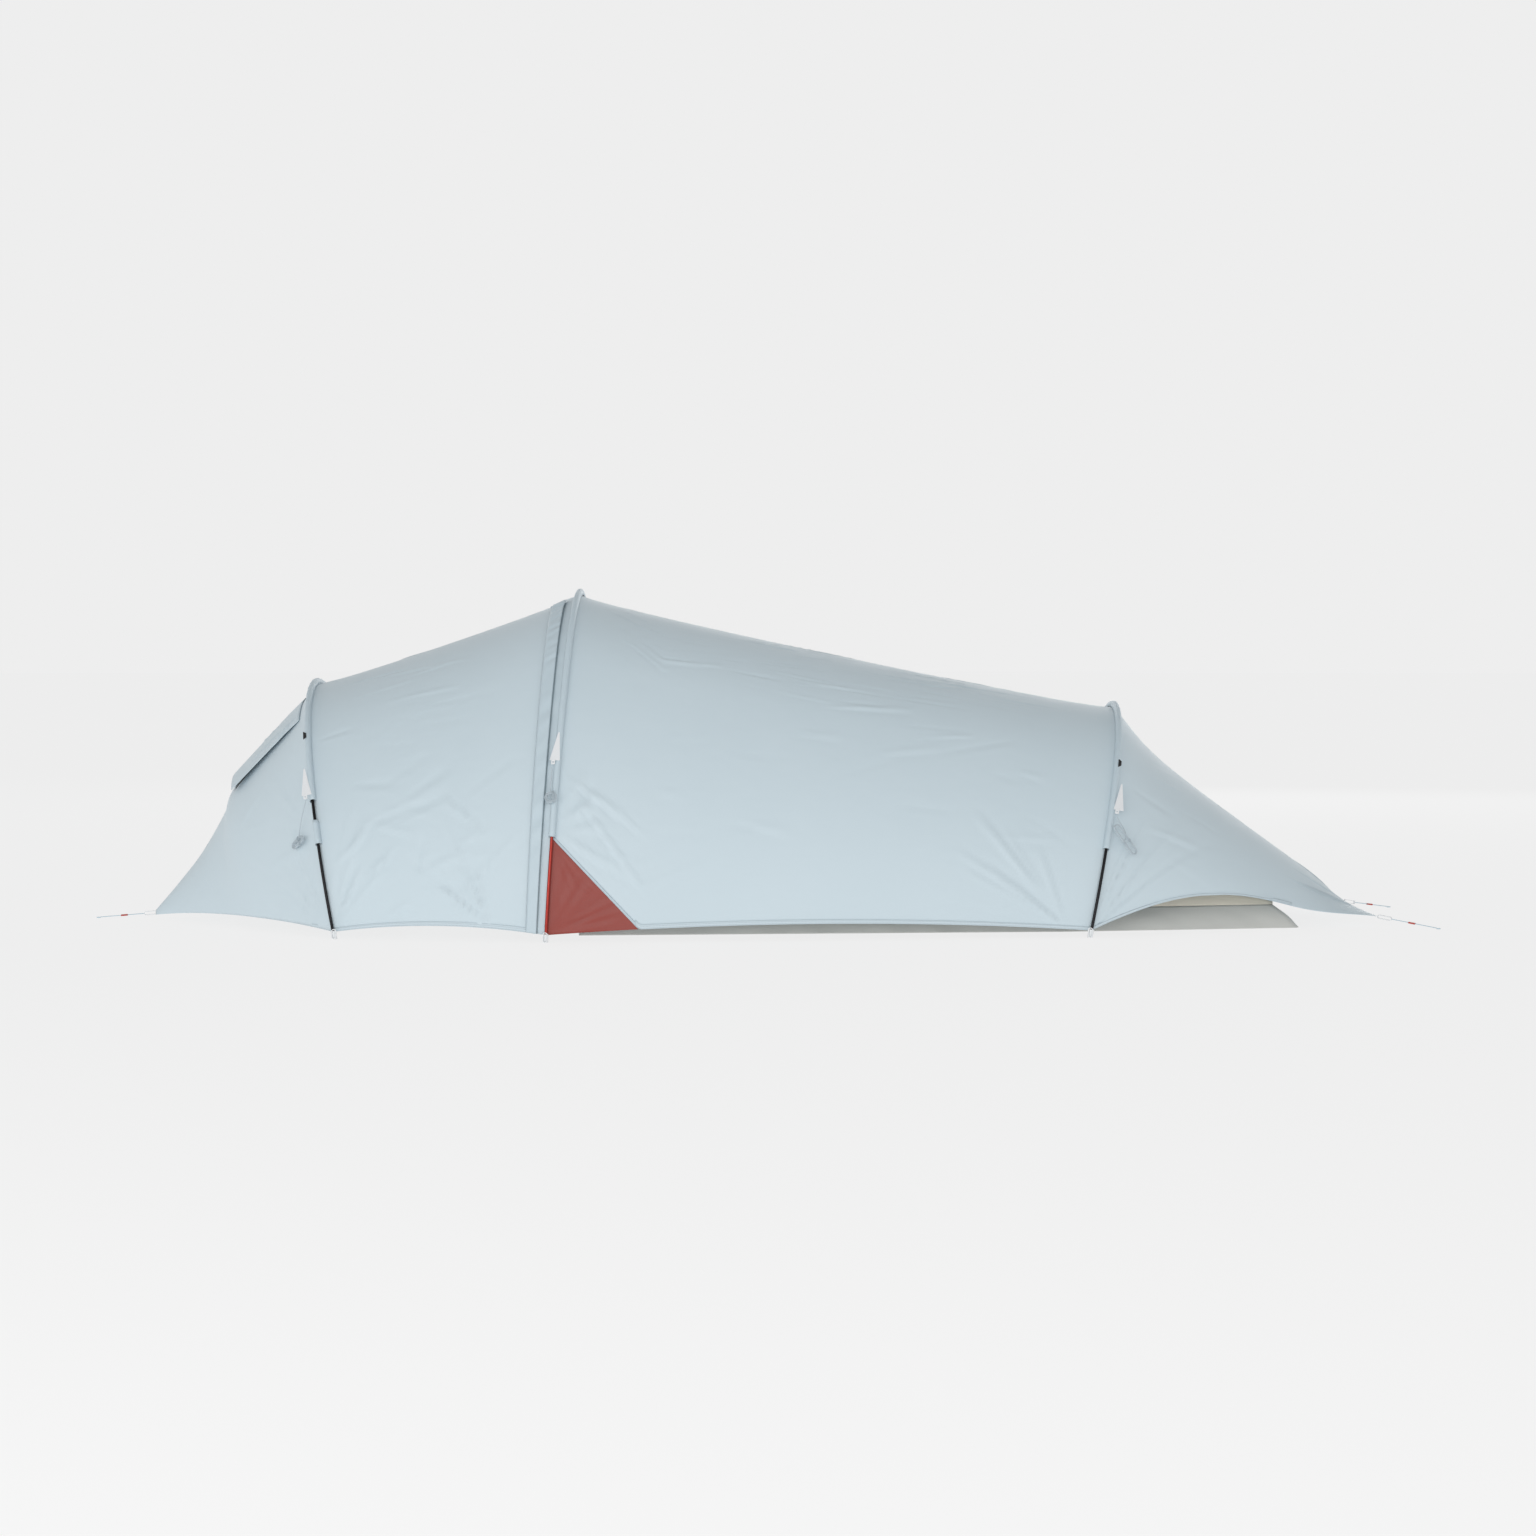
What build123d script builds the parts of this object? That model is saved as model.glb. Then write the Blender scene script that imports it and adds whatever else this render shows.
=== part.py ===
from build123d import *
import os
from math import asin, atan2, cos, degrees, hypot, radians, sin, tan

os.makedirs("parts", exist_ok=True)

# A three-arch tunnel tent. +X runs from the nose to the tail, the door is on the -Y side and +Z is up.
# Millimetres and degrees. The ground is z = 0. Cloth is made as thin closed shells.

# Arches, to the outer face of the fly: foot along the tent, half width, rise in the arch's own plane, and
# lean of that plane from upright (positive towards the tail).
FRONT_FOOT_X, FRONT_HALF_WIDTH, FRONT_RISE, FRONT_LEAN = -1237, 620, 752, -10.9
MIDDLE_FOOT_X, MIDDLE_HALF_WIDTH, MIDDLE_RISE, MIDDLE_LEAN = -610, 720, 1020, 3.2
REAR_FOOT_X, REAR_HALF_WIDTH, REAR_RISE, REAR_LEAN = 986, 580, 681, 11.4
LEG_TURN = 40  # degrees of the curve taken by the leg arc, the crown arc takes the rest

CLOTH = 2.0  # thickness of every cloth shell
GAP = 0.3  # clearance between pieces that move or fit
SEAM = 0.2  # clearance under a piece that is sewn on
REACH = 1200  # how far side cuts run, more than half the tent's width

# Sections of the nose and of the tail, given as the arches are
NECK, BROW = (-1312, 550, 678, -9.9), (-1484, 387, 457, -17.8)
NOSE_ROWS = [(-1614, 265, 345, -8.5), (-1704, 178, 217, -9.3), (-1804, 86, 114, -7), (-1889, 20, 26, -9)]
HIP, RUMP = (1176, 522, 507, 12.5), (1596, 366, 218, 23.3)
TAIL_CORNER_X, TAIL_HALF_WIDTH, TAIL_CORNER_Z = 1901, 260, 30
TAIL_END_PULL, TAIL_END_LIFT = 60, 25  # how far the middle of the end hem is drawn in and up
TAIL_KNEE = (13, 7)  # the end hem's first bend, in from the corner and up
TAIL_CROWN_SHARE = 0.76  # how much of the lift is reached halfway to the middle

# Hems: heights at the pole feet, the main bay and the door, and the curves of the nose and the tail
HEM_FOOT_Z, HEM_SIDE, HEM_DOOR = 20, (217, 46), (-951, 42)
NOSE_HEM = [(-1915, 8), (-1726, 30), (-1544, 38)]
TAIL_HEM = [(1110, 69), (1198, 100), (1338, 111), (1493, 98), (1644, 58)]

# Vent window and the hood over it
VENT_TURN = 68  # the window starts this far up the curve
HOOD_TURN, HOOD_ROOT_SHARE, HOOD_OUT, HOOD_CLOTH = 60, 0.75, 6.0, 1.6
HOOD_LIP = (-1480, 410, 484, -18.6)
STIFFENER_RADIUS, STIFFENER_INSET_TURN = 2.0, 2

# Poles and sleeves
POLE_RADIUS, POLE_WALL, POLE_AXIS_OUT = 4.5, 0.6, 8.6
SLEEVE_RADIUS, SLEEVE_WALL = 8.2, 1.2
FERRULE_RADIUS, FERRULE_WALL, FERRULE_LENGTH, SHOCK_CORD_RADIUS = 3.6, 0.8, 70, 1.5
POLE_SECTIONS, SECTION_GAP = {"front": 5, "middle": 7, "rear": 5}, 0.2
SLEEVE_START_Z = {"front": 273, "middle": 302, "rear": 255}
SLEEVE_WINDOW_Z = (339, 397)  # bare stretch of the front pole
CUP_RADIUS, CUP_HEIGHT, CUP_FLOOR, CUP_CLEARANCE, CUP_SINK = 8.0, 24, 4, 0.7, 10
TIP_SHOWS, TIP_LENGTH = 6, 30
KEEPER = (9, 30, 3)  # small black keepers on the front and rear sleeves
KEEPER_Z, KEEPER_SHIFT = {"front": 578, "rear": 495}, {"front": -6, "rear": 6}

# Door: shares of the way from the middle arch to the front arch, along the cloth
ZIP_SHARE, ZIP_GAP_SHARE, TAPE_SHARE = 0.060, 0.0006, 0.020
ZIP_TOP_TURN, TAPE_OUT = 76, 1.2
STORM_FLAP_SHARES, STORM_FLAP_HEM_SHARE = (0.045, 0.092), 0.003
STORM_FLAP_OUT, STORM_FLAP_CLOTH = 9.0, 1.2
DOOR_LOW_CORNER = (-1172, 70)  # where the fold starts, X and Z
DOOR_HIGH_TURN = 36.5  # how far up the zip the fold ends
FOLD_BELOW, FOLD_ABOVE = 45, 70  # the soft fold strip, measured either side of the fold line
SLIDER, SLIDER_OUT, SLIDER_Z = (5, 16, 3.4), 3.4, 48
SLIDER_KEEL = (0.8, 12, 1.6)  # runs in the fly's half of the zip
SLIDER_CORNER, PULL, PULL_OVERLAP = 1.5, (4, 22, 1.4), 2

# Red corner pieces behind the middle poles
GUSSET_TOP_Z, GUSSET_RUN = 304, 330  # the diagonal falls and runs back alike
BINDING_WIDTH, BINDING_OUT, BINDING_START = 11, 1.4, 12.6  # it starts this far behind the arch's plane

# Guying on the sleeves: patches, runners, and what each tied guyline hangs down to
GUY_Z = {"front": 403, "middle": 512, "rear": 357}
GUY_SHIFT = {"front": -14, "middle": -8, "rear": 18}
PATCH_WIDTH, PATCH_HEIGHT, PATCH_TIP, PATCH_CLOTH = 30, 90, 4, 1.2
PATCH_TIP_SHIFT = {"front": 0, "middle": 6, "rear": 0}
RUNNER, RUNNER_SLOT, RUNNER_CORNER, RUNNER_SHIFT = (11, 13, 3.6), (6, 4), 1.5, -4
CORD_RADIUS, CORD_ARC_SHARE = 1.25, 0.45
HANKS = {"front": (58, 24, 15, 20), "middle": (38, 34, 14, 0), "rear": (108, 24, 15, -24)}
HANK_BACK, HANK_GAP = 2.2, 0.6  # how far a hank reaches in behind its cord, and how close under its end

# Ground line: peg rings, taut cords with their tensioners, and eyes on the ground
FOOT_RING, CORNER_RING = (15, 30, 2.2, 6), (12, 46, 2.0, 7)  # width, height, webbing and its width
RING_START, CORNER_INSET = 4, 8
TENSIONER, TENSIONER_CORNER, TENSIONER_SHARE = (20, 9, 5), 1.6, 0.45
EYE_RADIUS, EYE_WALL = 6.0, 2.0
NOSE_RING_X, NOSE_RING_Z = -1883, 17.7
GROUND_EYE_NOSE_X, GROUND_EYE_TAIL_X, GROUND_EYE_TAIL_Y, GROUND_EYE_Z = -2076, 2070, 350, 2

# Inner tent
INNER_HEAD_X, INNER_HEAD_HALF, INNER_HEAD_RISE = -524, 520, 850
INNER_WAIST_X, INNER_WAIST_HALF, INNER_WAIST_RISE = 936, 410, 500
INNER_FOOT_X, INNER_FOOT_HALF, INNER_FOOT_RISE = 1576, 290, 140
TUB_HEIGHT, TUB_FLARE, TUB_END_FLARE, TUB_CORNER = 70, 30, 80, 60
INNER_DOOR_LOW, INNER_DOOR_HIGH, INNER_DOOR_HALF, INNER_DOOR_CORNER = 130, 640, 270, 130
INNER_DOOR_GAP = 0.6


class Arch:
    """A cloth section: upright at the foot and level at the ridge, in one leg arc and one crown arc."""

    def __init__(self, foot_x, half_width, rise, lean=0, foot_z=0):
        across, along = cos(radians(LEG_TURN)), sin(radians(LEG_TURN))
        self.foot_x, self.half_width, self.rise = foot_x, half_width, rise
        self.lean, self.foot_z = lean, foot_z
        reach = across * along - (1 - across) * (1 - along)
        self.leg_radius = (across * rise - (1 - along) * half_width) / reach
        self.crown_radius = (half_width - (1 - across) * self.leg_radius) / across
        tilt = radians(lean)
        self.plane = Plane((foot_x, 0, foot_z), x_dir=(0, -1, 0), z_dir=(-cos(tilt), 0, sin(tilt)))
        self.forward = -self.plane.z_dir

    def stretches(self):
        """Start turn, end turn, centre and radius of the near leg, the crown and the far leg."""
        leg_centre = self.half_width - self.leg_radius
        return (
            (0, LEG_TURN, (leg_centre, 0), self.leg_radius),
            (LEG_TURN, 180 - LEG_TURN, (0, self.rise - self.crown_radius), self.crown_radius),
            (180 - LEG_TURN, 180, (-leg_centre, 0), self.leg_radius),
        )

    def at(self, turn, out=0, along=0):
        """Point a number of degrees round from the near foot, set off from the cloth and along the tent."""
        for low, high, centre, radius in self.stretches():
            if low <= turn <= high:
                x = centre[0] + (radius + out) * cos(radians(turn))
                y = centre[1] + (radius + out) * sin(radians(turn))
                return self.plane.from_local_coords(Vector(x, y)) + self.forward * along

    def out_of(self, turn):
        """Direction square to the cloth at a turn."""
        return self.plane.x_dir * cos(radians(turn)) + self.plane.y_dir * sin(radians(turn))

    def turn_at_height(self, z):
        """How far round the near leg a height is reached."""
        return degrees(asin((z - self.foot_z) / cos(radians(self.lean)) / self.leg_radius))

    def turn_at_length(self, length, out=0):
        """How far round a length of curve reaches, measured from the near foot."""
        for low, high, _, radius in self.stretches():
            span = radians(high - low) * (radius + out)
            if length <= span + 1e-6:
                return low + degrees(length / (radius + out))
            length -= span
        return 180

    def length(self, out=0):
        """Whole length of the curve from foot to foot."""
        return sum(radians(high - low) * (radius + out) for low, high, _, radius in self.stretches())

    def flat(self, turn, out=0, along=0):
        """Plane lying against the cloth, X along the tent and Y up the curve."""
        return Plane(self.at(turn, out, along), x_dir=self.forward, z_dir=self.out_of(turn))


def between(first, second, share):
    """The section a share of the way along the straight lines that join two arches."""

    def mix(a, b):
        return a + (b - a) * share

    run = mix(*(arch.rise * sin(radians(arch.lean)) for arch in (first, second)))
    height = mix(*(arch.rise * cos(radians(arch.lean)) for arch in (first, second)))
    foot_x, half_width = mix(first.foot_x, second.foot_x), mix(first.half_width, second.half_width)
    foot_z = mix(first.foot_z, second.foot_z)
    return Arch(foot_x, half_width, hypot(run, height), degrees(atan2(run, height)), foot_z)


def outline(arch, out, start, stop):
    """Arcs of a section between two turns, offset from the cloth, drawn into the open line."""
    arcs = []
    for low, high, centre, radius in arch.stretches():
        low, high = max(low, start), min(high, stop)
        if high - low > 1e-6:
            arcs.append(CenterArc(centre, radius + out, low, high - low))
    return arcs


def band(arch, outer=0, inner=-CLOTH, start=0, stop=90):
    """Thin strip across a section, from one turn to another and between two offsets."""
    with BuildSketch(arch.plane) as strip:
        with BuildLine():
            outside = outline(arch, outer, start, stop)
            inside = outline(arch, inner, start, stop)
            Line(outside[0] @ 0, inside[0] @ 0)
            Line(outside[-1] @ 1, inside[-1] @ 1)
        make_face()
    return strip.sketch


def side_shape(*points):
    """Polygon in side view, as X and Z."""
    with BuildSketch(Plane.XZ) as shape:
        with BuildLine():
            Polyline(*points, close=True)
        make_face()
    return shape.sketch


def under_curve(points):
    """Side view of all that lies under a hem drawn as a smooth line."""
    with BuildSketch(Plane.XZ) as shape:
        with BuildLine():
            hem = Spline(*points)
            Polyline(hem @ 0, (points[0][0], -90), (points[-1][0], -90), hem @ 1)
        make_face()
    return shape.sketch


def arch_rod(arch, start, stop, radius, bore=0, out=POLE_AXIS_OUT):
    """Round bar or tube bent along an arch between two turns."""
    with BuildPart() as rod:
        with BuildLine(arch.plane) as path:
            outline(arch, out, start, stop)
        with BuildSketch(Plane(path.wires()[0] @ 0, z_dir=path.wires()[0] % 0)):
            Circle(radius)
            if bore:
                Circle(bore, mode=Mode.SUBTRACT)
        sweep(path=path.wires()[0])
    return rod.part


def both_sides(shape):
    """A near-side shape with its mirror image on the far side."""
    add(shape)
    mirror(shape, about=Plane.XZ)


front = Arch(FRONT_FOOT_X, FRONT_HALF_WIDTH, FRONT_RISE, FRONT_LEAN)
middle = Arch(MIDDLE_FOOT_X, MIDDLE_HALF_WIDTH, MIDDLE_RISE, MIDDLE_LEAN)
rear = Arch(REAR_FOOT_X, REAR_HALF_WIDTH, REAR_RISE, REAR_LEAN)
arches = {"front": front, "middle": middle, "rear": rear}
pieces = {}

# ---------------------------------------------------------------- hems in side view
feet_of_hem = [(arch.foot_x, HEM_FOOT_Z) for arch in (front, middle, rear)]
nose_hem = under_curve([*NOSE_HEM, feet_of_hem[0]])
door_hem = under_curve([feet_of_hem[0], HEM_DOOR, feet_of_hem[1]])
main_hem = under_curve([feet_of_hem[1], HEM_SIDE, feet_of_hem[2]])
tail_hem = under_curve([feet_of_hem[2], *TAIL_HEM, (TAIL_CORNER_X + 2, TAIL_CORNER_Z - 4)])

# ---------------------------------------------------------------- nose, between the front arch and its peg
neck, brow = Arch(*NECK), Arch(*BROW)
nose_sections = [brow, *(Arch(*row) for row in NOSE_ROWS)]

with BuildPart() as fly_nose_near:
    loft(sections=[band(front), band(neck)], ruled=True)
    loft(sections=[band(neck, stop=VENT_TURN), band(brow, stop=VENT_TURN)], ruled=True)
    loft(sections=[band(section) for section in nose_sections], ruled=True)
    extrude(nose_hem, amount=REACH, mode=Mode.SUBTRACT)
pieces["fly_nose_near"] = fly_nose_near

with BuildPart() as vent_mesh:
    window = {"start": VENT_TURN, "stop": 180 - VENT_TURN}
    loft(sections=[band(neck, **window), band(brow, **window)], ruled=True)
pieces["vent_mesh"] = vent_mesh

# A stiffened hood stands over the window. Its root is a band on the cloth, its lip stands clear.
hood_root = between(front, neck, HOOD_ROOT_SHARE)
hood_lip = Arch(*HOOD_LIP)
with BuildPart() as vent_hood:
    hood = {"start": HOOD_TURN, "stop": 180 - HOOD_TURN}
    root = band(hood_root, HOOD_OUT, HOOD_OUT - HOOD_CLOTH, **hood)
    loft(sections=[root, band(hood_lip, HOOD_CLOTH, 0, **hood)], ruled=True)
pieces["vent_hood"] = vent_hood

with BuildPart() as vent_hood_stiffener:
    ends = (HOOD_TURN + STIFFENER_INSET_TURN, 180 - HOOD_TURN - STIFFENER_INSET_TURN)
    add(arch_rod(hood_lip, *ends, STIFFENER_RADIUS, out=-STIFFENER_RADIUS - GAP))
pieces["vent_hood_stiffener"] = vent_hood_stiffener

# ---------------------------------------------------------------- vestibule and door
zip_line = between(middle, front, ZIP_SHARE)
high_point = zip_line.at(DOOR_HIGH_TURN)
door_low, door_high = Vector(*DOOR_LOW_CORNER), Vector(high_point.X, high_point.Z)
fold_way = (door_high - door_low).normalized()
fold_down = Vector(fold_way.Y, -fold_way.X)


def fold_band(low, high):
    """Side view of a strip along the fold, between two distances below the fold line."""
    ends = (door_low - fold_way * REACH, door_high + fold_way * REACH)
    corners = [end + fold_down * offset for offset in (low, high) for end in ends]
    return side_shape(*((corners[i].X, corners[i].Y) for i in (0, 1, 3, 2)))


door_side = fold_band(FOLD_BELOW, REACH)
strip_side = fold_band(-FOLD_ABOVE, FOLD_BELOW - GAP)
fixed_side = fold_band(-REACH, -FOLD_ABOVE)
door_edge = between(middle, front, ZIP_SHARE + ZIP_GAP_SHARE)
fly_edge = between(middle, front, ZIP_SHARE - ZIP_GAP_SHARE)

for label, side in (("door_panel", door_side), ("door_fold", strip_side), ("vestibule_near", fixed_side)):
    with BuildPart() as vestibule_piece:
        loft(sections=[band(front), band(door_edge)], ruled=True)
        extrude(door_hem, amount=REACH, mode=Mode.SUBTRACT)
        extrude(side, amount=REACH, mode=Mode.INTERSECT)
    pieces[label] = vestibule_piece

with BuildPart() as vestibule_far_near_hand:
    loft(sections=[band(front), band(middle)], ruled=True)
    extrude(door_hem, amount=REACH, mode=Mode.SUBTRACT)

# Each zip tape lies on its own cloth. The door's tape and the storm flap over both are cut at the fold.
tape_strip = (TAPE_OUT, SEAM, 0, ZIP_TOP_TURN)
door_tape_edge = between(middle, front, ZIP_SHARE + TAPE_SHARE)
fly_tape_edge = between(middle, front, ZIP_SHARE - TAPE_SHARE)
flap_right, flap_left = (between(middle, front, share) for share in STORM_FLAP_SHARES)
flap_root = between(middle, front, STORM_FLAP_SHARES[1] + STORM_FLAP_HEM_SHARE)
flap_strip = (STORM_FLAP_OUT, STORM_FLAP_OUT - STORM_FLAP_CLOTH, 0, ZIP_TOP_TURN)
flap_hem_strip = (STORM_FLAP_OUT, SEAM, 0, ZIP_TOP_TURN)

with BuildPart() as zip_tape_fly:
    loft(sections=[band(arch, *tape_strip) for arch in (fly_edge, fly_tape_edge)], ruled=True)
    extrude(door_hem, amount=REACH, mode=Mode.SUBTRACT)
pieces["zip_tape_fly"] = zip_tape_fly

for label, side in (("", door_side), ("_top", fold_band(-REACH, FOLD_BELOW - GAP))):
    with BuildPart() as door_tape:
        loft(sections=[band(arch, *tape_strip) for arch in (door_edge, door_tape_edge)], ruled=True)
        extrude(door_hem, amount=REACH, mode=Mode.SUBTRACT)
        extrude(side, amount=REACH, mode=Mode.INTERSECT)
    pieces["zip_tape_door" + label] = door_tape

    with BuildPart() as storm_flap:
        loft(sections=[band(arch, *flap_strip) for arch in (flap_right, flap_left)], ruled=True)
        loft(sections=[band(arch, *flap_hem_strip) for arch in (flap_left, flap_root)], ruled=True)
        extrude(door_hem, amount=REACH, mode=Mode.SUBTRACT)
        extrude(side, amount=REACH, mode=Mode.INTERSECT)
    pieces["storm_flap" + label] = storm_flap

# The slider rides on the fly's tape, just clear of the door's, with a pull tab that hangs from it.
slider_turn = zip_line.turn_at_height(SLIDER_Z)
slider_seat = zip_line.flat(slider_turn, SLIDER_OUT, SLIDER[0] / 2 + GAP)
with BuildPart() as zip_slider:
    with BuildSketch(slider_seat):
        RectangleRounded(SLIDER[0], SLIDER[1], SLIDER_CORNER)
    extrude(amount=SLIDER[2])
    with BuildSketch(slider_seat):
        with Locations(((SLIDER_KEEL[0] - SLIDER[0]) / 2, 0)):
            Rectangle(SLIDER_KEEL[0], SLIDER_KEEL[1])
    extrude(amount=-SLIDER_KEEL[2])
    with BuildSketch(slider_seat.offset(SLIDER[2] - PULL[2])):
        with Locations((0, PULL_OVERLAP - (SLIDER[1] + PULL[1]) / 2)):
            RectangleRounded(PULL[0], PULL[1], SLIDER_CORNER)
    extrude(amount=PULL[2])
pieces["zip_slider"] = zip_slider

# ---------------------------------------------------------------- main bay, red corner pieces and tail
def beside_middle(z, along=0):
    """Point in side view on the plane of the middle arch, or set back from it."""
    return (middle.foot_x + z * tan(radians(middle.lean)) + along, z)


gusset_low = GUSSET_TOP_Z - GUSSET_RUN
gusset_side = side_shape(
    beside_middle(GUSSET_TOP_Z), beside_middle(gusset_low, GUSSET_RUN), beside_middle(gusset_low)
)
binding_side = side_shape(
    beside_middle(GUSSET_TOP_Z + BINDING_WIDTH - BINDING_START, BINDING_START),
    beside_middle(gusset_low, GUSSET_RUN + BINDING_WIDTH),
    beside_middle(gusset_low, GUSSET_RUN - BINDING_WIDTH / 2),
    beside_middle(GUSSET_TOP_Z - BINDING_WIDTH / 2 - BINDING_START, BINDING_START),
)

with BuildPart() as fly_main_near:
    loft(sections=[band(rear), band(middle), band(fly_edge)], ruled=True)
    extrude(main_hem, amount=REACH, mode=Mode.SUBTRACT)
    extrude(door_hem, amount=REACH, mode=Mode.SUBTRACT)
    extrude(gusset_side, amount=REACH, mode=Mode.SUBTRACT)
pieces["fly_main_near"] = fly_main_near

with BuildPart() as fly_main_far_near_hand:
    loft(sections=[band(rear), band(middle)], ruled=True)
    extrude(main_hem, amount=REACH, mode=Mode.SUBTRACT)
    extrude(gusset_side, amount=REACH, mode=Mode.SUBTRACT)

with BuildPart() as gussets:
    loft(sections=[band(rear), band(middle)], ruled=True)
    extrude(main_hem, amount=REACH, mode=Mode.SUBTRACT)
    extrude(gusset_side, amount=REACH, mode=Mode.INTERSECT)
    mirror(about=Plane.XZ)
pieces["gussets"] = gussets

with BuildPart() as gusset_bindings:
    loft(sections=[band(rear, BINDING_OUT, SEAM), band(middle, BINDING_OUT, SEAM)], ruled=True)
    extrude(main_hem, amount=REACH, mode=Mode.SUBTRACT)
    extrude(binding_side, amount=REACH, mode=Mode.INTERSECT)
    mirror(about=Plane.XZ)
pieces["gusset_bindings"] = gusset_bindings

hip, rump = Arch(*HIP), Arch(*RUMP)
tail_tilt = atan2(-TAIL_END_PULL, TAIL_END_LIFT)
tail_depth = hypot(TAIL_END_PULL, TAIL_END_LIFT)
end_plane = Plane(
    (TAIL_CORNER_X, 0, TAIL_CORNER_Z), x_dir=(0, -1, 0), z_dir=(-cos(tail_tilt), 0, sin(tail_tilt))
)
with BuildSketch(end_plane) as tail_end:
    with BuildLine():
        for drop in (0, -CLOTH):
            corner = (TAIL_HALF_WIDTH + drop, drop)
            knee = (corner[0] - TAIL_KNEE[0], corner[1] + TAIL_KNEE[1])
            halfway = (TAIL_HALF_WIDTH / 2, tail_depth * TAIL_CROWN_SHARE + drop)
            Line(corner, knee)
            ThreePointArc(knee, halfway, (0, tail_depth + drop))
        Line((TAIL_HALF_WIDTH, 0), (TAIL_HALF_WIDTH - CLOTH, -CLOTH))
        Line((0, tail_depth), (0, tail_depth - CLOTH))
    make_face()

with BuildPart() as fly_tail_near:
    loft(sections=[band(rear), band(hip), band(rump), tail_end.sketch], ruled=True)
    extrude(tail_hem, amount=REACH, mode=Mode.SUBTRACT)
pieces["fly_tail_near"] = fly_tail_near

# The far side of the fly is the near side's mirror image, without the door.
far_side = {
    "fly_nose_far": fly_nose_near,
    "vestibule_far": vestibule_far_near_hand,
    "fly_main_far": fly_main_far_near_hand,
    "fly_tail_far": fly_tail_near,
}
for label, near in far_side.items():
    with BuildPart() as far:
        mirror(near.part, about=Plane.XZ)
    pieces[label] = far

# ---------------------------------------------------------------- poles, sleeves and feet
TRIM_OUT = POLE_AXIS_OUT + SLEEVE_RADIUS + GAP  # just outside a sleeve
pole_ends, ferrule_spans = {}, []
for name, arch in arches.items():
    count = POLE_SECTIONS[name]
    first = CUP_FLOOR + TIP_SHOWS
    share = (arch.length(POLE_AXIS_OUT) - 2 * first) / count
    joins = [arch.turn_at_length(first + share * i, POLE_AXIS_OUT) for i in range(count + 1)]
    pole_ends[name] = joins[0]

    with BuildPart() as sections:
        for low, high in zip(joins, joins[1:]):
            shave = degrees(SECTION_GAP / 2 / arch.crown_radius)
            add(arch_rod(arch, low + shave, high - shave, POLE_RADIUS, POLE_RADIUS - POLE_WALL))
    pieces[name + "_pole"] = sections

    for i in range(1, count):
        ends = (first + share * i - FERRULE_LENGTH / 2, first + share * i + FERRULE_LENGTH / 2)
        ferrule_spans.append((arch, *(arch.turn_at_length(end, POLE_AXIS_OUT) for end in ends)))

    with BuildPart() as sleeve:
        start = arch.turn_at_height(SLEEVE_START_Z[name])
        cuts = [start, 90]
        if name == "front":
            cuts = [start, *(arch.turn_at_height(z) for z in SLEEVE_WINDOW_Z), 90]
        for low, high in zip(cuts[::2], cuts[1::2]):
            both_sides(arch_rod(arch, low, high, SLEEVE_RADIUS, SLEEVE_RADIUS - SLEEVE_WALL))
    pieces[name + "_sleeve"] = sleeve

with BuildPart() as pole_ferrules:
    for arch, low, high in ferrule_spans:
        add(arch_rod(arch, low, high, FERRULE_RADIUS, FERRULE_RADIUS - FERRULE_WALL))
pieces["pole_ferrules"] = pole_ferrules

with BuildPart() as pole_shock_cords:
    for name, arch in arches.items():
        start = pole_ends[name] + degrees(TIP_LENGTH / arch.leg_radius)
        add(arch_rod(arch, start, 180 - start, SHOCK_CORD_RADIUS))
pieces["pole_shock_cords"] = pole_shock_cords

with BuildPart() as pole_tips:
    for name, arch in arches.items():
        radius = arch.leg_radius + POLE_AXIS_OUT
        low, high = degrees((CUP_FLOOR + GAP) / radius), pole_ends[name] + degrees(TIP_LENGTH / radius)
        collar = pole_ends[name]
        with BuildPart(mode=Mode.PRIVATE) as tip:
            add(arch_rod(arch, low, collar, POLE_RADIUS))
            add(arch_rod(arch, collar, high - degrees(GAP / radius), POLE_RADIUS - POLE_WALL - GAP))
        both_sides(tip.part)
pieces["pole_tips"] = pole_tips

with BuildPart() as pole_feet:
    for arch in arches.values():
        foot = arch.at(0, POLE_AXIS_OUT)
        with BuildPart(mode=Mode.PRIVATE) as cup:
            base = Plane(foot, x_dir=arch.forward, z_dir=arch.plane.y_dir)
            with BuildSketch(base.offset(-CUP_SINK)):
                Circle(CUP_RADIUS)
            extrude(amount=CUP_HEIGHT + CUP_SINK)
            with BuildSketch(base.offset(CUP_FLOOR)):
                Circle(POLE_RADIUS + CUP_CLEARANCE)
            extrude(amount=CUP_HEIGHT, mode=Mode.SUBTRACT)
            split(bisect_by=Plane.XY, keep=Keep.TOP)
        both_sides(cup.part)
pieces["pole_feet"] = pole_feet

with BuildPart() as sleeve_keepers:
    for name, z in KEEPER_Z.items():
        arch = arches[name]
        over_centre = z / cos(radians(arch.lean)) - arch.rise + arch.crown_radius
        turn = degrees(asin(over_centre / arch.crown_radius))
        seat = arch.flat(turn, TRIM_OUT, KEEPER_SHIFT[name])
        with BuildPart(mode=Mode.PRIVATE) as keeper:
            with BuildSketch(seat):
                with BuildLine():
                    half = KEEPER[1] / 2
                    Polyline(
                        (-KEEPER[0] / 2, -half), (KEEPER[0] / 2, -half / 2), (KEEPER[0] / 2, half / 2),
                        (-KEEPER[0] / 2, half), close=True,
                    )
                make_face()
            extrude(amount=KEEPER[2])
        both_sides(keeper.part)
pieces["sleeve_keepers"] = sleeve_keepers

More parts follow.
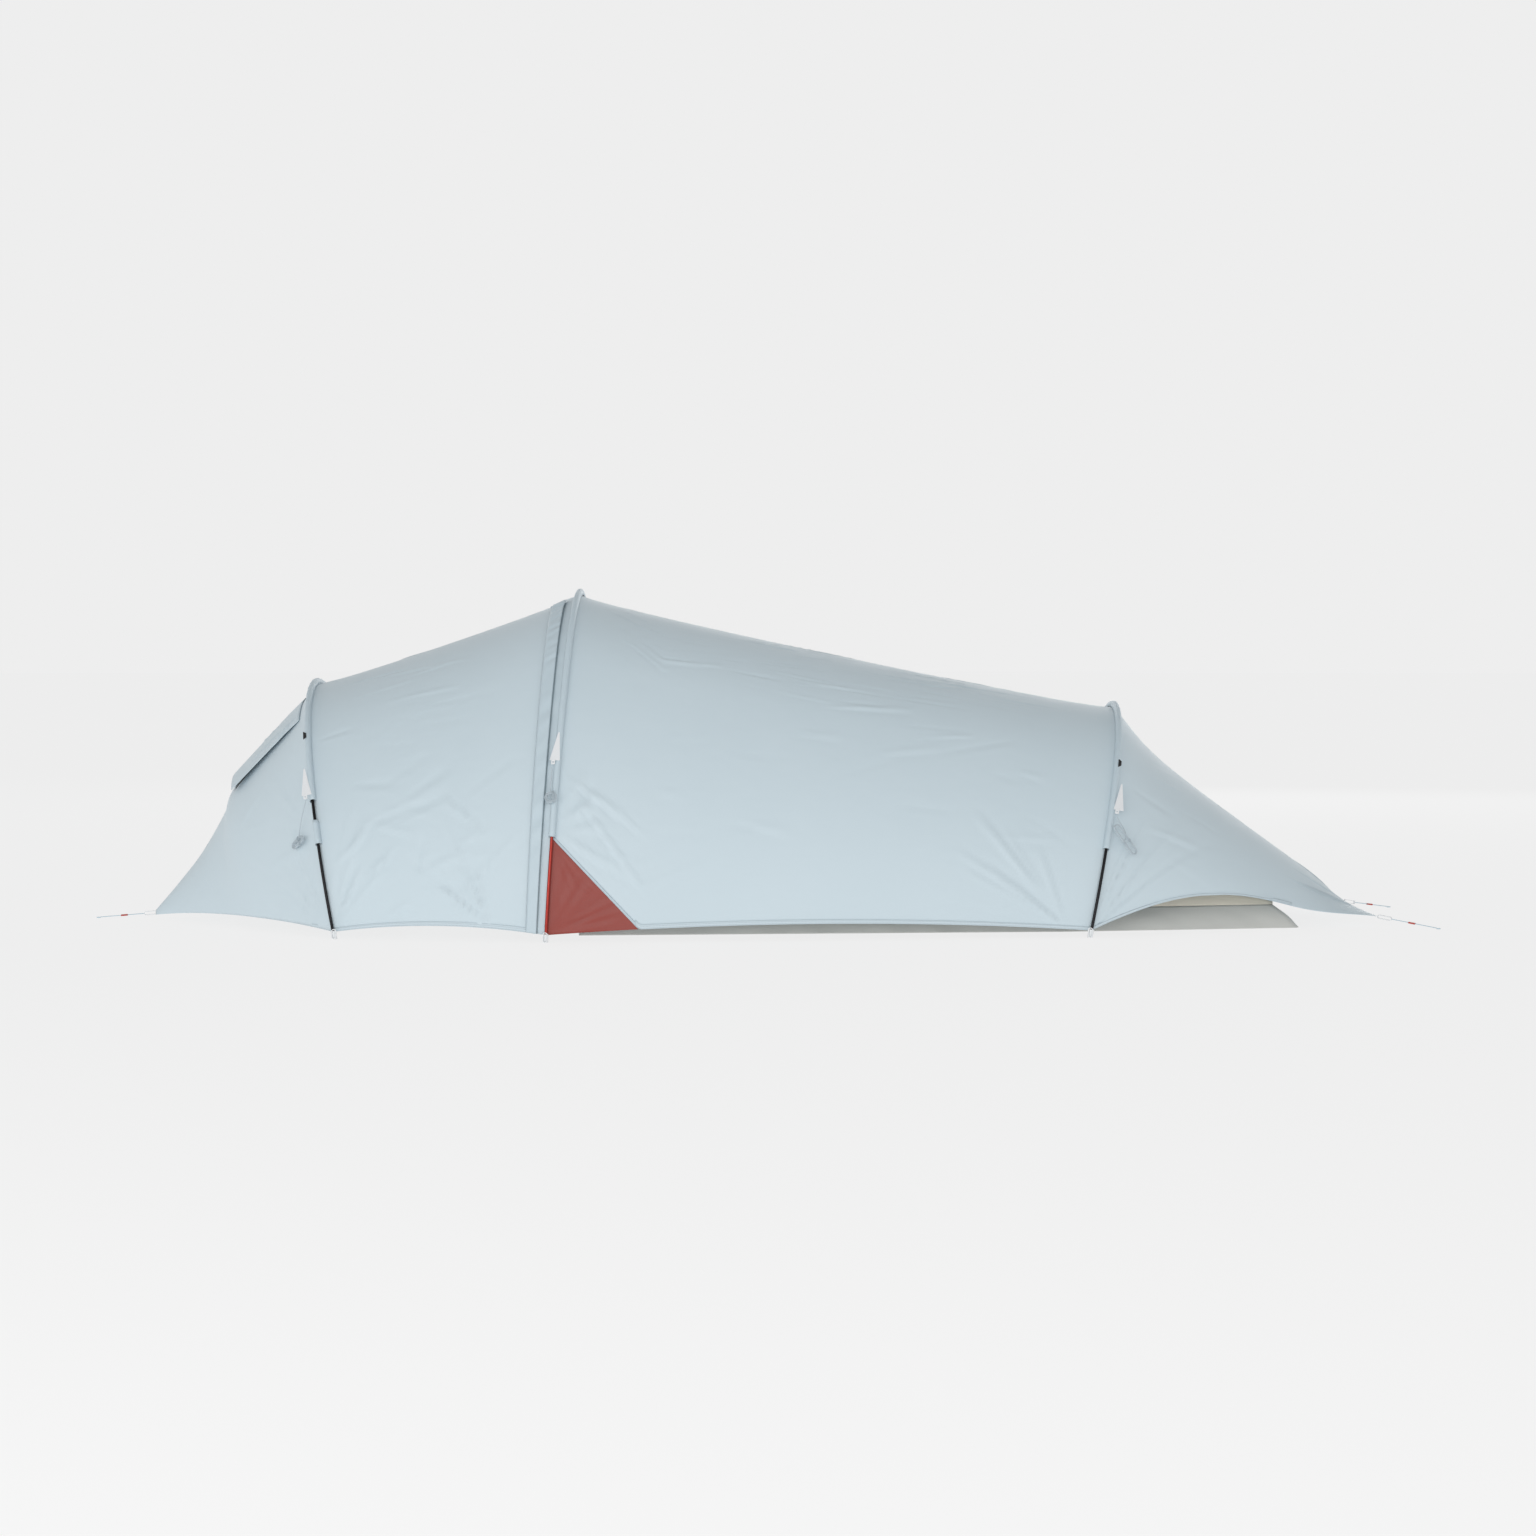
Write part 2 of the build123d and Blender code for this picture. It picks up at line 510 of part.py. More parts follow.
# ---------------------------------------------------------------- inner tent
inner_head = Arch(INNER_HEAD_X, INNER_HEAD_HALF, INNER_HEAD_RISE, 0, TUB_HEIGHT)
inner_waist = Arch(INNER_WAIST_X, INNER_WAIST_HALF, INNER_WAIST_RISE, 0, TUB_HEIGHT)
inner_foot = Arch(INNER_FOOT_X, INNER_FOOT_HALF, INNER_FOOT_RISE, 0, TUB_HEIGHT)
inner_sections = (inner_head, inner_waist, inner_foot)


def tub_level(z, wall=0):
    """Outline of the tub at one height, flared out below the canopy's foot, outside or inside its wall."""
    grow = TUB_FLARE * (TUB_HEIGHT - z) / TUB_HEIGHT - wall
    end_grow = TUB_END_FLARE * (TUB_HEIGHT - z) / TUB_HEIGHT - wall
    with BuildSketch(Plane.XY.offset(z)) as level:
        with BuildLine():
            near = [(arch.foot_x, -arch.half_width - grow) for arch in inner_sections]
            near[0] = (near[0][0] + wall, near[0][1])
            near[-1] = (near[-1][0] + end_grow, near[-1][1])
            Polyline(*near, *((x, -y) for x, y in reversed(near)), close=True)
        make_face()
        fillet(level.vertices().group_by(Axis.X)[-1], TUB_CORNER)
    return level.sketch


with BuildPart() as tub:
    loft(sections=[tub_level(0), tub_level(TUB_HEIGHT)], ruled=True)
    loft(sections=[tub_level(CLOTH, CLOTH), tub_level(TUB_HEIGHT, CLOTH)], ruled=True, mode=Mode.SUBTRACT)
pieces["tub"] = tub

with BuildPart() as inner_canopy_near:
    loft(sections=[band(arch) for arch in inner_sections], ruled=True)
pieces["inner_canopy_near"] = inner_canopy_near
with BuildPart() as inner_canopy_far:
    mirror(inner_canopy_near.part, about=Plane.XZ)
pieces["inner_canopy_far"] = inner_canopy_far


def end_wall(arch):
    """Whole face across a section of the inner tent, down to the tub's rim."""
    with BuildSketch(arch.plane) as wall:
        with BuildLine():
            edge = outline(arch, 0, 0, 180)
            Line(edge[0] @ 0, edge[-1] @ 1)
        make_face()
    return wall.sketch


door_height = INNER_DOOR_HIGH - INNER_DOOR_LOW
door_centre = (0, (INNER_DOOR_LOW + INNER_DOOR_HIGH) / 2 - TUB_HEIGHT)
with BuildPart() as inner_head_wall:
    extrude(end_wall(inner_head), amount=CLOTH)
    with BuildSketch(inner_head.plane):
        with Locations(door_centre):
            RectangleRounded(2 * INNER_DOOR_HALF, door_height, INNER_DOOR_CORNER)
    extrude(amount=CLOTH, mode=Mode.SUBTRACT)
pieces["inner_head_wall"] = inner_head_wall

with BuildPart() as inner_door:
    with BuildSketch(inner_head.plane):
        with Locations(door_centre):
            size = (2 * (INNER_DOOR_HALF - INNER_DOOR_GAP), door_height - 2 * INNER_DOOR_GAP)
            RectangleRounded(*size, INNER_DOOR_CORNER - INNER_DOOR_GAP)
    extrude(amount=CLOTH)
pieces["inner_door"] = inner_door

with BuildPart() as inner_foot_wall:
    extrude(end_wall(inner_foot), amount=-CLOTH)
pieces["inner_foot_wall"] = inner_foot_wall

# ---------------------------------------------------------------- guying: patches, runners and cords
patch_base = {}

with BuildPart() as guy_patches:
    for name, arch in arches.items():
        turn = arch.turn_at_height(GUY_Z[name] + PATCH_HEIGHT / 2)
        seat = arch.flat(turn, TRIM_OUT, GUY_SHIFT[name])
        patch_base[name] = seat
        low, high = -PATCH_HEIGHT / 2, PATCH_HEIGHT / 2
        tip = (PATCH_TIP_SHIFT[name] + PATCH_TIP / 2, PATCH_TIP_SHIFT[name] - PATCH_TIP / 2)
        with BuildPart(mode=Mode.PRIVATE) as patch:
            with BuildSketch(seat):
                with BuildLine():
                    base = ((-PATCH_WIDTH / 2, low), (PATCH_WIDTH / 2, low))
                    Polyline(*base, (tip[0], high), (tip[1], high), close=True)
                make_face()
            extrude(amount=PATCH_CLOTH)
        both_sides(patch.part)
pieces["guy_patches"] = guy_patches

with BuildPart() as guy_runners:
    for name, seat in patch_base.items():
        with BuildPart(mode=Mode.PRIVATE) as runner:
            with BuildSketch(seat):
                with Locations((RUNNER_SHIFT, -(PATCH_HEIGHT + RUNNER[1]) / 2 - GAP)):
                    RectangleRounded(RUNNER[0], RUNNER[1], RUNNER_CORNER)
                    RectangleRounded(*RUNNER_SLOT, RUNNER_CORNER, mode=Mode.SUBTRACT)
            extrude(amount=RUNNER[2])
        both_sides(runner.part)
pieces["guy_runners"] = guy_runners


def cord_solid(points, label):
    """Tube through points joined by the largest arcs their runs allow."""
    points = [Vector(*point) for point in points]
    radii = []
    for before, here, after in zip(points, points[1:], points[2:]):
        into, away = here - before, after - here
        turn = radians(into.get_angle(away))
        radii.append(CORD_ARC_SHARE * min(into.length, away.length) / tan(turn / 2))
    with BuildPart() as cord:
        with BuildLine() as route:
            if radii:
                FilletPolyline(*points, radius=radii)
            else:
                Line(*points)
        wire = route.wires()[0]
        with BuildSketch(Plane(wire @ 0, z_dir=wire % 0)):
            Circle(CORD_RADIUS)
        sweep(path=wire)
    print(label, "length", round(wire.length, 1), "radii", [round(radius, 1) for radius in radii])
    return cord


def cloth_seat(first, second, share, z, out):
    """Plane against the cloth between two arches at a height, X towards the tail and Y up the curve."""
    section = between(first, second, share)
    turn = section.turn_at_height(z)
    run = second.at(turn) - first.at(turn)
    towards_tail = run if run.X > 0 else -run
    up = section.forward.cross(section.out_of(turn))
    if up.Z < 0:
        up = -up
    return Plane(section.at(turn, out), x_dir=towards_tail, z_dir=towards_tail.cross(up))


# Tied-up guylines: the cord leaves its runner, hangs down the cloth and is bundled in a short hank.
# Points are the height, how far out from the cloth, and a share of the way to the next section.
TIED_ROUTES = {
    "front": [(388.5, 36, 0.24), (360, 34, 0.45), (330, 26, 0.68), (302, 19, 0.84), (283, 17, 0.94)],
    "middle": [(497.7, 21, 0.020), (472, 22.8, 0.017), (446, 23.6, 0.021), (426, 23.4, 0.018)],
    "rear": [(342.9, 23.5, 0.074), (322, 24, 0.15), (302, 23.5, 0.24), (285, 24, 0.28)],
}
TIED_TOWARDS = {"front": neck, "middle": front, "rear": hip}

for name, arch in arches.items():
    points, seats = [], []
    for z, out, share in TIED_ROUTES[name]:
        seats.append(cloth_seat(arch, TIED_TOWARDS[name], share, z, out))
        points.append(seats[-1].origin)
    near_cord = cord_solid(points, name)
    width, height, depth, tilt = HANKS[name]
    drop = height / 2 / cos(radians(tilt)) + CORD_RADIUS * tan(radians(abs(tilt))) + HANK_GAP
    with BuildPart() as near_hank:
        with BuildSketch(seats[-1].offset(-HANK_BACK)):
            with Locations(Location((0, -drop, 0), (0, 0, tilt))):
                RectangleRounded(width, height, height / 2 - 1)
        extrude(amount=depth)
    pieces["guyline_" + name + "_near"] = near_cord
    pieces["hank_" + name + "_near"] = near_hank
    for label, near in (("guyline_", near_cord), ("hank_", near_hank)):
        with BuildPart() as far:
            mirror(near.part, about=Plane.XZ)
        pieces[label + name + "_far"] = far

# Pulled corners: a webbing ring, a straight taut cord, a sliding tensioner and an eye on the ground
tail_corner = Vector(TAIL_CORNER_X, TAIL_HALF_WIDTH - CORNER_INSET, TAIL_CORNER_Z)
tail_eye = Vector(GROUND_EYE_TAIL_X, GROUND_EYE_TAIL_Y, GROUND_EYE_Z)
TAUT = {
    "nose": (Vector(NOSE_RING_X, 0, NOSE_RING_Z), Vector(GROUND_EYE_NOSE_X, 0, GROUND_EYE_Z)),
    "tail_near": tuple(Vector(point.X, -point.Y, point.Z) for point in (tail_corner, tail_eye)),
    "tail_far": (tail_corner, tail_eye),
}


def peg_ring(plane, size):
    """Webbing ring standing on a plane's X: width, height, thickness of the webbing and its width."""
    width, height, thick, deep = size
    with BuildPart() as ring:
        with BuildSketch(plane):
            SlotOverall(height, width, rotation=90)
            SlotOverall(height - 2 * thick, width - 2 * thick, rotation=90, mode=Mode.SUBTRACT)
        extrude(amount=deep)
    return ring.part


with BuildPart() as peg_rings:
    for arch in arches.values():
        side_y = -(arch.half_width + POLE_AXIS_OUT + CUP_RADIUS + SEAM)
        centre = (arch.foot_x, side_y, FOOT_RING[1] / 2)
        both_sides(peg_ring(Plane(centre, x_dir=(1, 0, 0), z_dir=(0, -1, 0)), FOOT_RING))
    for corner, ground in TAUT.values():
        way = (ground - corner).normalized()
        start = corner + way * (RING_START + CORNER_RING[1] / 2)
        side = way.cross(Vector(0, 0, 1)).normalized()
        ring_plane = Plane(start - side * CORNER_RING[3] / 2, x_dir=side.cross(way), z_dir=side)
        add(peg_ring(ring_plane, CORNER_RING))
pieces["peg_rings"] = peg_rings

for name, (corner, ground) in TAUT.items():
    way = (ground - corner).normalized()
    start = corner + way * (RING_START + CORNER_RING[1] + SEAM)
    stop = ground - way * (EYE_RADIUS + GAP)
    pieces["taut_line_" + name] = cord_solid([start, stop], name)
    centre = start + (stop - start) * TENSIONER_SHARE
    side = way.cross(Vector(0, 0, 1)).normalized()
    with BuildPart() as tensioner:
        with BuildSketch(Plane(centre - way * TENSIONER[0] / 2, x_dir=side, z_dir=way)):
            RectangleRounded(TENSIONER[1], TENSIONER[2], TENSIONER_CORNER)
            Circle(CORD_RADIUS + GAP, mode=Mode.SUBTRACT)
        extrude(amount=TENSIONER[0])
    pieces["tensioner_" + name] = tensioner

with BuildPart() as ground_eyes:
    for corner, ground in TAUT.values():
        flat_way = Vector(ground.X - corner.X, ground.Y - corner.Y, 0).normalized()
        with BuildSketch(Plane((ground.X, ground.Y, 0), x_dir=flat_way, z_dir=(0, 0, 1))):
            Circle(EYE_RADIUS)
            Circle(EYE_RADIUS - EYE_WALL, mode=Mode.SUBTRACT)
        extrude(amount=2 * CORD_RADIUS)
pieces["ground_eyes"] = ground_eyes

for label, piece in pieces.items():
    piece.part.label = label
    export_step(piece.part, f"parts/{label}.step")
print(len(pieces), "nodes")
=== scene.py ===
# %% [markdown]
# # A three-arch tunnel tent
# The tent is a row of bent poles with coated ripstop cloth stretched between them. The poles, cups, rings
# and tensioners come ready from the frame. Here the cloth, cords and finishes are added, in metres, in the
# frame's own axes: +X from nose to tail, the door on the -Y side, +Z up.

# %% Load the frame
import math

import bpy
import numpy as np
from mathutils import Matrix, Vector


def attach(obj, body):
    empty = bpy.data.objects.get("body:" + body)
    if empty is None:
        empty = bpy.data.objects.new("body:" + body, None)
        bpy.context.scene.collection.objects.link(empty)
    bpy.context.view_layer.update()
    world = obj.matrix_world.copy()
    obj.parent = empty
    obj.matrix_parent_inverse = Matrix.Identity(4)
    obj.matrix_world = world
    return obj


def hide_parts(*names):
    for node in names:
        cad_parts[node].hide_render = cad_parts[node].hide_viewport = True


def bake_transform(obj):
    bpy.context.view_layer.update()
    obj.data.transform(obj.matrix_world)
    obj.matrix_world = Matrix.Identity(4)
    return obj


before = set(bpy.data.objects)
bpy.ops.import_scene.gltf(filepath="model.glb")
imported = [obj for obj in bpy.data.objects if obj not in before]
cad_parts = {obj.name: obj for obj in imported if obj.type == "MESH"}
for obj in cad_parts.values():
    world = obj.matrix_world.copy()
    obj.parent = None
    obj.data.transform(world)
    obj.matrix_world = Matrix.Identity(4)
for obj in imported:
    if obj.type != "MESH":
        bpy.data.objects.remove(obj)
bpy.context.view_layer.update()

# %% [markdown]
# ## Camera
# A long lens a little above the ground, square on to the door side, keeps the three arches nearly edge-on.

# %% Camera
camera_data = bpy.data.cameras.new("camera")
camera_data.sensor_width = 36.0
camera_data.lens = 67.08
camera = bpy.data.objects.new("camera", camera_data)
bpy.context.scene.collection.objects.link(camera)
camera.location = (0.036, -9.0, 0.888)
looks_at = Vector((0.036, 0.0, 0.473))
camera.rotation_euler = (looks_at - camera.location).to_track_quat("-Z", "Y").to_euler()
bpy.context.scene.camera = camera

# %% [markdown]
# ## The shape of the cloth
# Each section of the tent is two arcs a side: a leg arc that starts upright at the ground and a flatter
# crown arc that is level at the ridge. Five numbers fix a section, so sections can be mixed like colours.
# That gives every panel the same smooth surface to lie on.

# %% Sections
MM = 0.001
LEG_TURN = 40.0  # degrees of a side taken by the leg arc
LEG_ACROSS, LEG_UP = math.cos(math.radians(LEG_TURN)), math.sin(math.radians(LEG_TURN))


def section(foot_x, half_width, rise, lean=0.0, foot_z=0.0):
    """Foot along the tent, half width, run and height of the crown, height of the feet."""
    tilt = math.radians(lean)
    return np.array([foot_x, half_width, rise * math.sin(tilt), rise * math.cos(tilt), foot_z]) * MM


def arcs(half, rise):
    """Radii of a section's leg arc and crown arc."""
    spread = LEG_ACROSS * LEG_UP - (1 - LEG_ACROSS) * (1 - LEG_UP)
    leg = (LEG_ACROSS * rise - (1 - LEG_UP) * half) / spread
    return leg, (half - (1 - LEG_ACROSS) * leg) / LEG_ACROSS


def lie(rows, turns, out=0.0):
    """Points a number of degrees round each section, set off from it, and the way out of the cloth there."""
    foot_x, half, run, height, foot_z = (rows[..., i] for i in range(5))
    rise = np.hypot(run, height)
    leg, crown = arcs(half, rise)
    side = np.where(turns > 90, 1.0, -1.0)
    angle = np.minimum(turns, 180 - turns)
    on_leg = angle < LEG_TURN
    radius = np.where(on_leg, leg, crown) + out
    angle = np.radians(angle)
    across = np.where(on_leg, half - leg, 0.0) + radius * np.cos(angle)
    up = np.where(on_leg, 0.0, rise - crown) + radius * np.sin(angle)
    points = np.stack([foot_x + up * run / rise, side * across, foot_z + up * height / rise], -1)
    ways = np.stack([np.sin(angle) * run / rise, side * np.cos(angle), np.sin(angle) * height / rise], -1)
    return points, ways


def turn_at(rows, height):
    """How far round the near side a height is reached."""
    foot_x, half, run, tall, foot_z = (rows[..., i] for i in range(5))
    rise = np.hypot(run, tall)
    leg, crown = arcs(half, rise)
    slant = (height - foot_z) * rise / tall
    on_leg, on_crown = slant / leg, (slant - rise + crown) / crown
    return np.degrees(np.arcsin(np.clip(np.where(on_leg < LEG_UP, on_leg, on_crown), -1, 1)))


FRONT = section(-1237, 620, 752, -10.9)
MIDDLE = section(-610, 720, 1020, 3.2)
REAR = section(986, 580, 681, 11.4)
NECK, BROW = section(-1312, 550, 678, -9.9), section(-1484, 387, 457, -17.8)
NOSE = [FRONT, NECK, BROW, section(-1614, 265, 345, -8.5), section(-1704, 178, 217, -9.3)]
NOSE += [section(-1804, 86, 114, -7), section(-1889, 20, 26, -9)]
HIP, RUMP = section(1176, 522, 507, 12.5), section(1596, 366, 218, 23.3)
ZIP_SHARE = 0.06  # the zip lies this share of the way from the middle arch to the front arch


def along(first, second, shares):
    """Straight mix of two sections."""
    shares = np.asarray(shares, float)[..., None]
    return first + (second - first) * shares


def through(stations, places):
    """Smooth mix through a row of sections: places count the stations from 0."""
    stations, places = np.array(stations), np.asarray(places, float)
    slopes = np.gradient(stations, axis=0)
    low = np.clip(np.floor(places).astype(int), 0, len(stations) - 2)
    t = (places - low)[..., None]
    return ease(stations[low], stations[low + 1], slopes[low], slopes[low + 1], t)


def ease(start, stop, leave, arrive, t):
    """Smooth way from start to stop that leaves and arrives at the given slopes."""
    from_start = (2 * t**3 - 3 * t**2 + 1) * start + (t**3 - 2 * t**2 + t) * leave
    return from_start + (3 * t**2 - 2 * t**3) * stop + (t**3 - t**2) * arrive


# %% [markdown]
# ## Wrinkles
# Tight cloth wrinkles in straight pulls: they start where it is held, at a pole's foot, a patch or a seam,
# and die out along their length. Each pull is a narrow ridge on the flattened panel, and a panel is lifted
# by the sum of its pulls. A fixed seed gives the same tent every time.

# %% Pulls in the cloth
PULL_GAIN = 2.4  # one number for how creased the whole tent is


def pulls(flat, starts, ends, widths, heights):
    """Lift at flat points from ridges that run between starts and ends."""
    lift = np.zeros(flat.shape[:-1])
    for start, end, width, height in zip(starts, ends, widths, heights):
        way = np.subtract(end, start)
        length = np.hypot(*way)
        offset = flat - start
        far = (offset @ way) / length**2
        aside = (offset[..., 0] * way[1] - offset[..., 1] * way[0]) / length
        fade = np.clip(far * (1 - far) * 4, 0, 1) ** 0.7
        wide = width * (0.45 + far.clip(0, 1))
        ridge = np.exp(-((aside / wide) ** 2))
        trough = np.exp(-(((aside - 1.6 * wide) / wide) ** 2))
        lift += PULL_GAIN * height * fade * (ridge - 0.45 * trough)
    return lift


def compass(bearing):
    """Steps of one metre in the given directions on the flat cloth."""
    return np.stack([np.cos(bearing), np.sin(bearing)], -1)


def fan(random, centre, lengths, angles, count, width, height):
    """Pulls that spread from one held point."""
    bearing = np.radians(random.uniform(*angles, count))
    reach = random.uniform(*lengths, count)
    begin = random.uniform(0.0, 0.12, count) * reach
    ways = compass(bearing)
    starts, ends = centre + ways * begin[:, None], centre + ways * reach[:, None]
    return starts, ends, random.uniform(0.5, 1.3, count) * width, random.uniform(-0.6, 1.0, count) * height


def drift(random, low, high, lengths, angles, count, width, height):
    """Pulls scattered over a stretch of cloth, nearly all one way."""
    starts = random.uniform(low, high, (count, 2))
    bearing = np.radians(random.normal(*angles, count))
    reach = random.uniform(*lengths, count)[:, None]
    ends = starts + compass(bearing) * reach
    return starts, ends, random.uniform(0.5, 1.3, count) * width, random.uniform(-0.7, 1.0, count) * height


# %% [markdown]
# ## Making a panel
# A panel is a grid on its sections: one direction runs along the tent, the other up over the ridge. The
# grid is bent to the surface, lifted by its pulls, and given a thin back with Solidify, so that every edge
# has a real thickness. A UV map holds the flat panel in metres, for the weave.

# %% Grid and panel helpers
CLOTH_THICK = 0.0008


def mesh_piece(name, points, faces, flat=None):
    """Object from points and faces, with a UV map of the flat cloth."""
    mesh = bpy.data.meshes.new(name)
    mesh.from_pydata([tuple(point) for point in points], [], [tuple(face) for face in faces])
    if flat is not None:
        layer = mesh.uv_layers.new(name="flat")
        corners = np.array([loop.vertex_index for loop in mesh.loops])
        layer.data.foreach_set("uv", np.asarray(flat, np.float32)[corners].ravel())
    mesh.polygons.foreach_set("use_smooth", [True] * len(mesh.polygons))
    mesh.validate()
    piece = bpy.data.objects.new(name, mesh)
    bpy.context.scene.collection.objects.link(piece)
    return piece


def grid_faces(rows, columns, skip=None, closed=False):
    """Quads of a grid of points, row by row."""
    faces = []
    for i in range(rows - 1):
        for j in range(columns if closed else columns - 1):
            if skip is None or not skip[i, j]:
                k = (j + 1) % columns
                faces.append((i * columns + j, i * columns + k, (i + 1) * columns + k, (i + 1) * columns + j))
    return faces


def thicken(piece, offset=-1.0):
    """A thin back on a sheet, facing away from its outer side, and put in the mesh."""
    solid = piece.modifiers.new("back", "SOLIDIFY")
    solid.thickness, solid.offset, solid.use_even_offset = CLOTH_THICK, offset, False
    made = bpy.data.meshes.new_from_object(piece.evaluated_get(bpy.context.evaluated_depsgraph_get()))
    piece.modifiers.clear()
    piece.data = made


def way_along(points):
    """How far along a row of points each one is."""
    return np.concatenate([[0], np.cumsum(np.linalg.norm(np.diff(points, axis=0), axis=-1))])


def flat_of(points):
    """Flat place of each grid point: lengths along the middle row and up each column."""
    steps_up = np.linalg.norm(np.diff(points, axis=1), axis=-1)
    up = np.concatenate([np.zeros((len(points), 1)), np.cumsum(steps_up, axis=1)], axis=1)
    run = way_along(points[:, points.shape[1] // 2])
    return np.stack([np.broadcast_to(run[:, None], up.shape), up], -1)


def cloth_size(points):
    """Flat width, length and area of a grid."""
    edges = np.diff(points, axis=0)[:, :-1], np.diff(points, axis=1)[:-1]
    area = float(np.linalg.norm(np.cross(*edges), axis=-1).sum())
    run = float(np.linalg.norm(np.diff(points, axis=0), axis=-1).sum(0).max())
    up = float(np.linalg.norm(np.diff(points, axis=1), axis=-1).sum(1).max())
    return run, up, min(area, run * up)


def sheet_of(name, points, faces, offset=-1.0):
    """A sheet on a grid of points, with the flat size of its cut noted on it."""
    piece = mesh_piece(name, points.reshape(-1, 3), faces, flat_of(points).reshape(-1, 2))
    thicken(piece, offset)
    piece["run"], piece["up"], piece["cut"] = cloth_size(points)
    return piece


def panel(name, rows, turns, out=0.0, skip=None, facing=1):
    """A sheet on sections."""
    faces = grid_faces(*turns.shape, skip)
    if facing < 0:
        faces = [face[::-1] for face in faces]
    return sheet_of(name, lie(rows[:, None, :], turns, out)[0], faces)


def spread_turns(low, high, count, mirrored=False):
    """Turns from a low to a high edge for each section, evenly spaced."""
    low, high = np.asarray(low, float), np.asarray(high, float)
    turns = low[:, None] + (high - low)[:, None] * np.linspace(0, 1, count)
    return 180 - turns[:, ::-1] if mirrored else turns


# %% [markdown]
# ## Finishes
# Shader maths reads best as a sum, so a small class wraps a node's socket and turns + - * / into Math
# nodes. Every other node comes from one method that takes its type, its settings and its inputs.

# %% Shader helpers
class Signal:
    """A socket that can be used in a sum."""

    def __init__(self, finish, socket):
        self.finish, self.socket = finish, socket

    def maths(self, operation, *others):
        return self.finish.add("Math", {"operation": operation}, dict(enumerate((self, *others))))

    def __add__(self, other):
        return self.maths("ADD", other)

    def __sub__(self, other):
        return self.maths("SUBTRACT", other)

    def __rsub__(self, other):
        return self.finish.add("Math", {"operation": "SUBTRACT"}, {0: other, 1: self})

    def __mul__(self, other):
        return self.maths("MULTIPLY", other)

    def __truediv__(self, other):
        return self.maths("DIVIDE", other)

    def to_and_fro(self, half):
        """Rises from 0 to half a pitch and falls back, over and over."""
        return self.maths("PINGPONG", half)


class Finish:
    """A material with its Principled shader."""

    def __init__(self, name, colour, roughness, **constants):
        self.material = bpy.data.materials.new(name)
        self.material.use_nodes = True
        self.tree = self.material.node_tree
        self.shader = self.tree.nodes["Principled BSDF"]
        self.set("Base Color", (*colour, 1.0))
        self.set("Roughness", roughness)
        for socket, value in constants.items():
            self.set(socket.replace("_", " ").title().replace("Ior", "IOR"), value)

    def set(self, socket, value):
        """Links or fills a socket of the shader."""
        if isinstance(value, Signal):
            self.tree.links.new(value.socket, self.shader.inputs[socket])
        else:
            self.shader.inputs[socket].default_value = value

    def add(self, kind, settings=None, inputs=None, output=0):
        """A node of any type, its settings first and then its inputs."""
        node = self.tree.nodes.new("ShaderNode" + kind)
        for key, value in (settings or {}).items():
            setattr(node, key, value)
        for key, value in (inputs or {}).items():
            if isinstance(value, Signal):
                self.tree.links.new(value.socket, node.inputs[key])
            else:
                node.inputs[key].default_value = value
        return Signal(self, node.outputs[output])

    def place(self):
        """Where a point is on the object, in metres."""
        return self.add("TexCoord", output="Object")

    def flat(self):
        """Where a point is on the flat cloth, in metres."""
        return self.add("UVMap", {"uv_map": "flat"})

    def noise(self, scale, detail=3.0, stretch=(1, 1, 1)):
        """Soft noise from 0 to 1, stretched along an axis."""
        spot = self.add("Mapping", None, {"Vector": self.place(), "Scale": stretch})
        return self.add("TexNoise", None, {"Vector": spot, "Scale": scale, "Detail": detail}, "Fac")

    def split(self, vector):
        """The three numbers of a vector."""
        node = self.add("SeparateXYZ", None, {"Vector": vector}).socket.node
        return [Signal(self, socket) for socket in node.outputs]

    def mix(self, factor, first, second):
        """Blend of two colours."""
        return self.add("Mix", {"data_type": "RGBA"}, {0: factor, 6: (*first, 1.0), 7: (*second, 1.0)}, 2)

    def bump(self, height, strength, distance=0.001):
        """Surface relief from a height."""
        inputs = {"Height": height, "Strength": strength, "Distance": distance}
        self.set("Normal", self.add("Bump", None, inputs))


def paint(piece, finish):
    """Gives a piece its finish."""
    piece.data.materials.clear()
    piece.data.materials.append(finish.material)
    return piece


# %% [markdown]
# ## Fly cloth
# Coated ripstop is smooth and faintly glossy, with a grid of thicker threads every few millimetres and a
# soft mottling where the coating catches the light. The thread grid lies on the flat cloth.

# %% Cloth finishes
RIPSTOP_PITCH, THREAD_SHARE = 0.0055, 0.07
STITCH_PITCH, STITCH_DUTY, RIB = 0.0042, 0.62, 0.0006


def ripstop(name, colour, shade, roughness=0.5):
    """Coated ripstop: mottled colour, thread grid and fine weave."""
    finish = Finish(name, colour, roughness)
    clouds = finish.noise(2.6, 4.0)
    fine = finish.noise(38.0, 3.0, (0.35, 1.0, 1.0))
    finish.set("Base Color", finish.mix(clouds * 0.6 + fine * 0.4, shade, colour))
    finish.set("Roughness", fine * 0.16 + (roughness - 0.08))
    u, v, _ = finish.split(finish.flat())
    half, thread = RIPSTOP_PITCH / 2, RIPSTOP_PITCH * THREAD_SHARE
    across, up = (axis.to_and_fro(half).maths("LESS_THAN", thread) for axis in (u, v))
    grid = across.maths("MAXIMUM", up)
    weave = finish.noise(900.0, 1.0)
    crease = finish.noise(17.0, 4.0, (0.3, 1.0, 1.0))
    finish.bump(grid * 0.25 + weave * 0.12 + crease * 1.1, 0.35, 0.0012)
    finish.set("Sheen Weight", 0.15)
    return finish


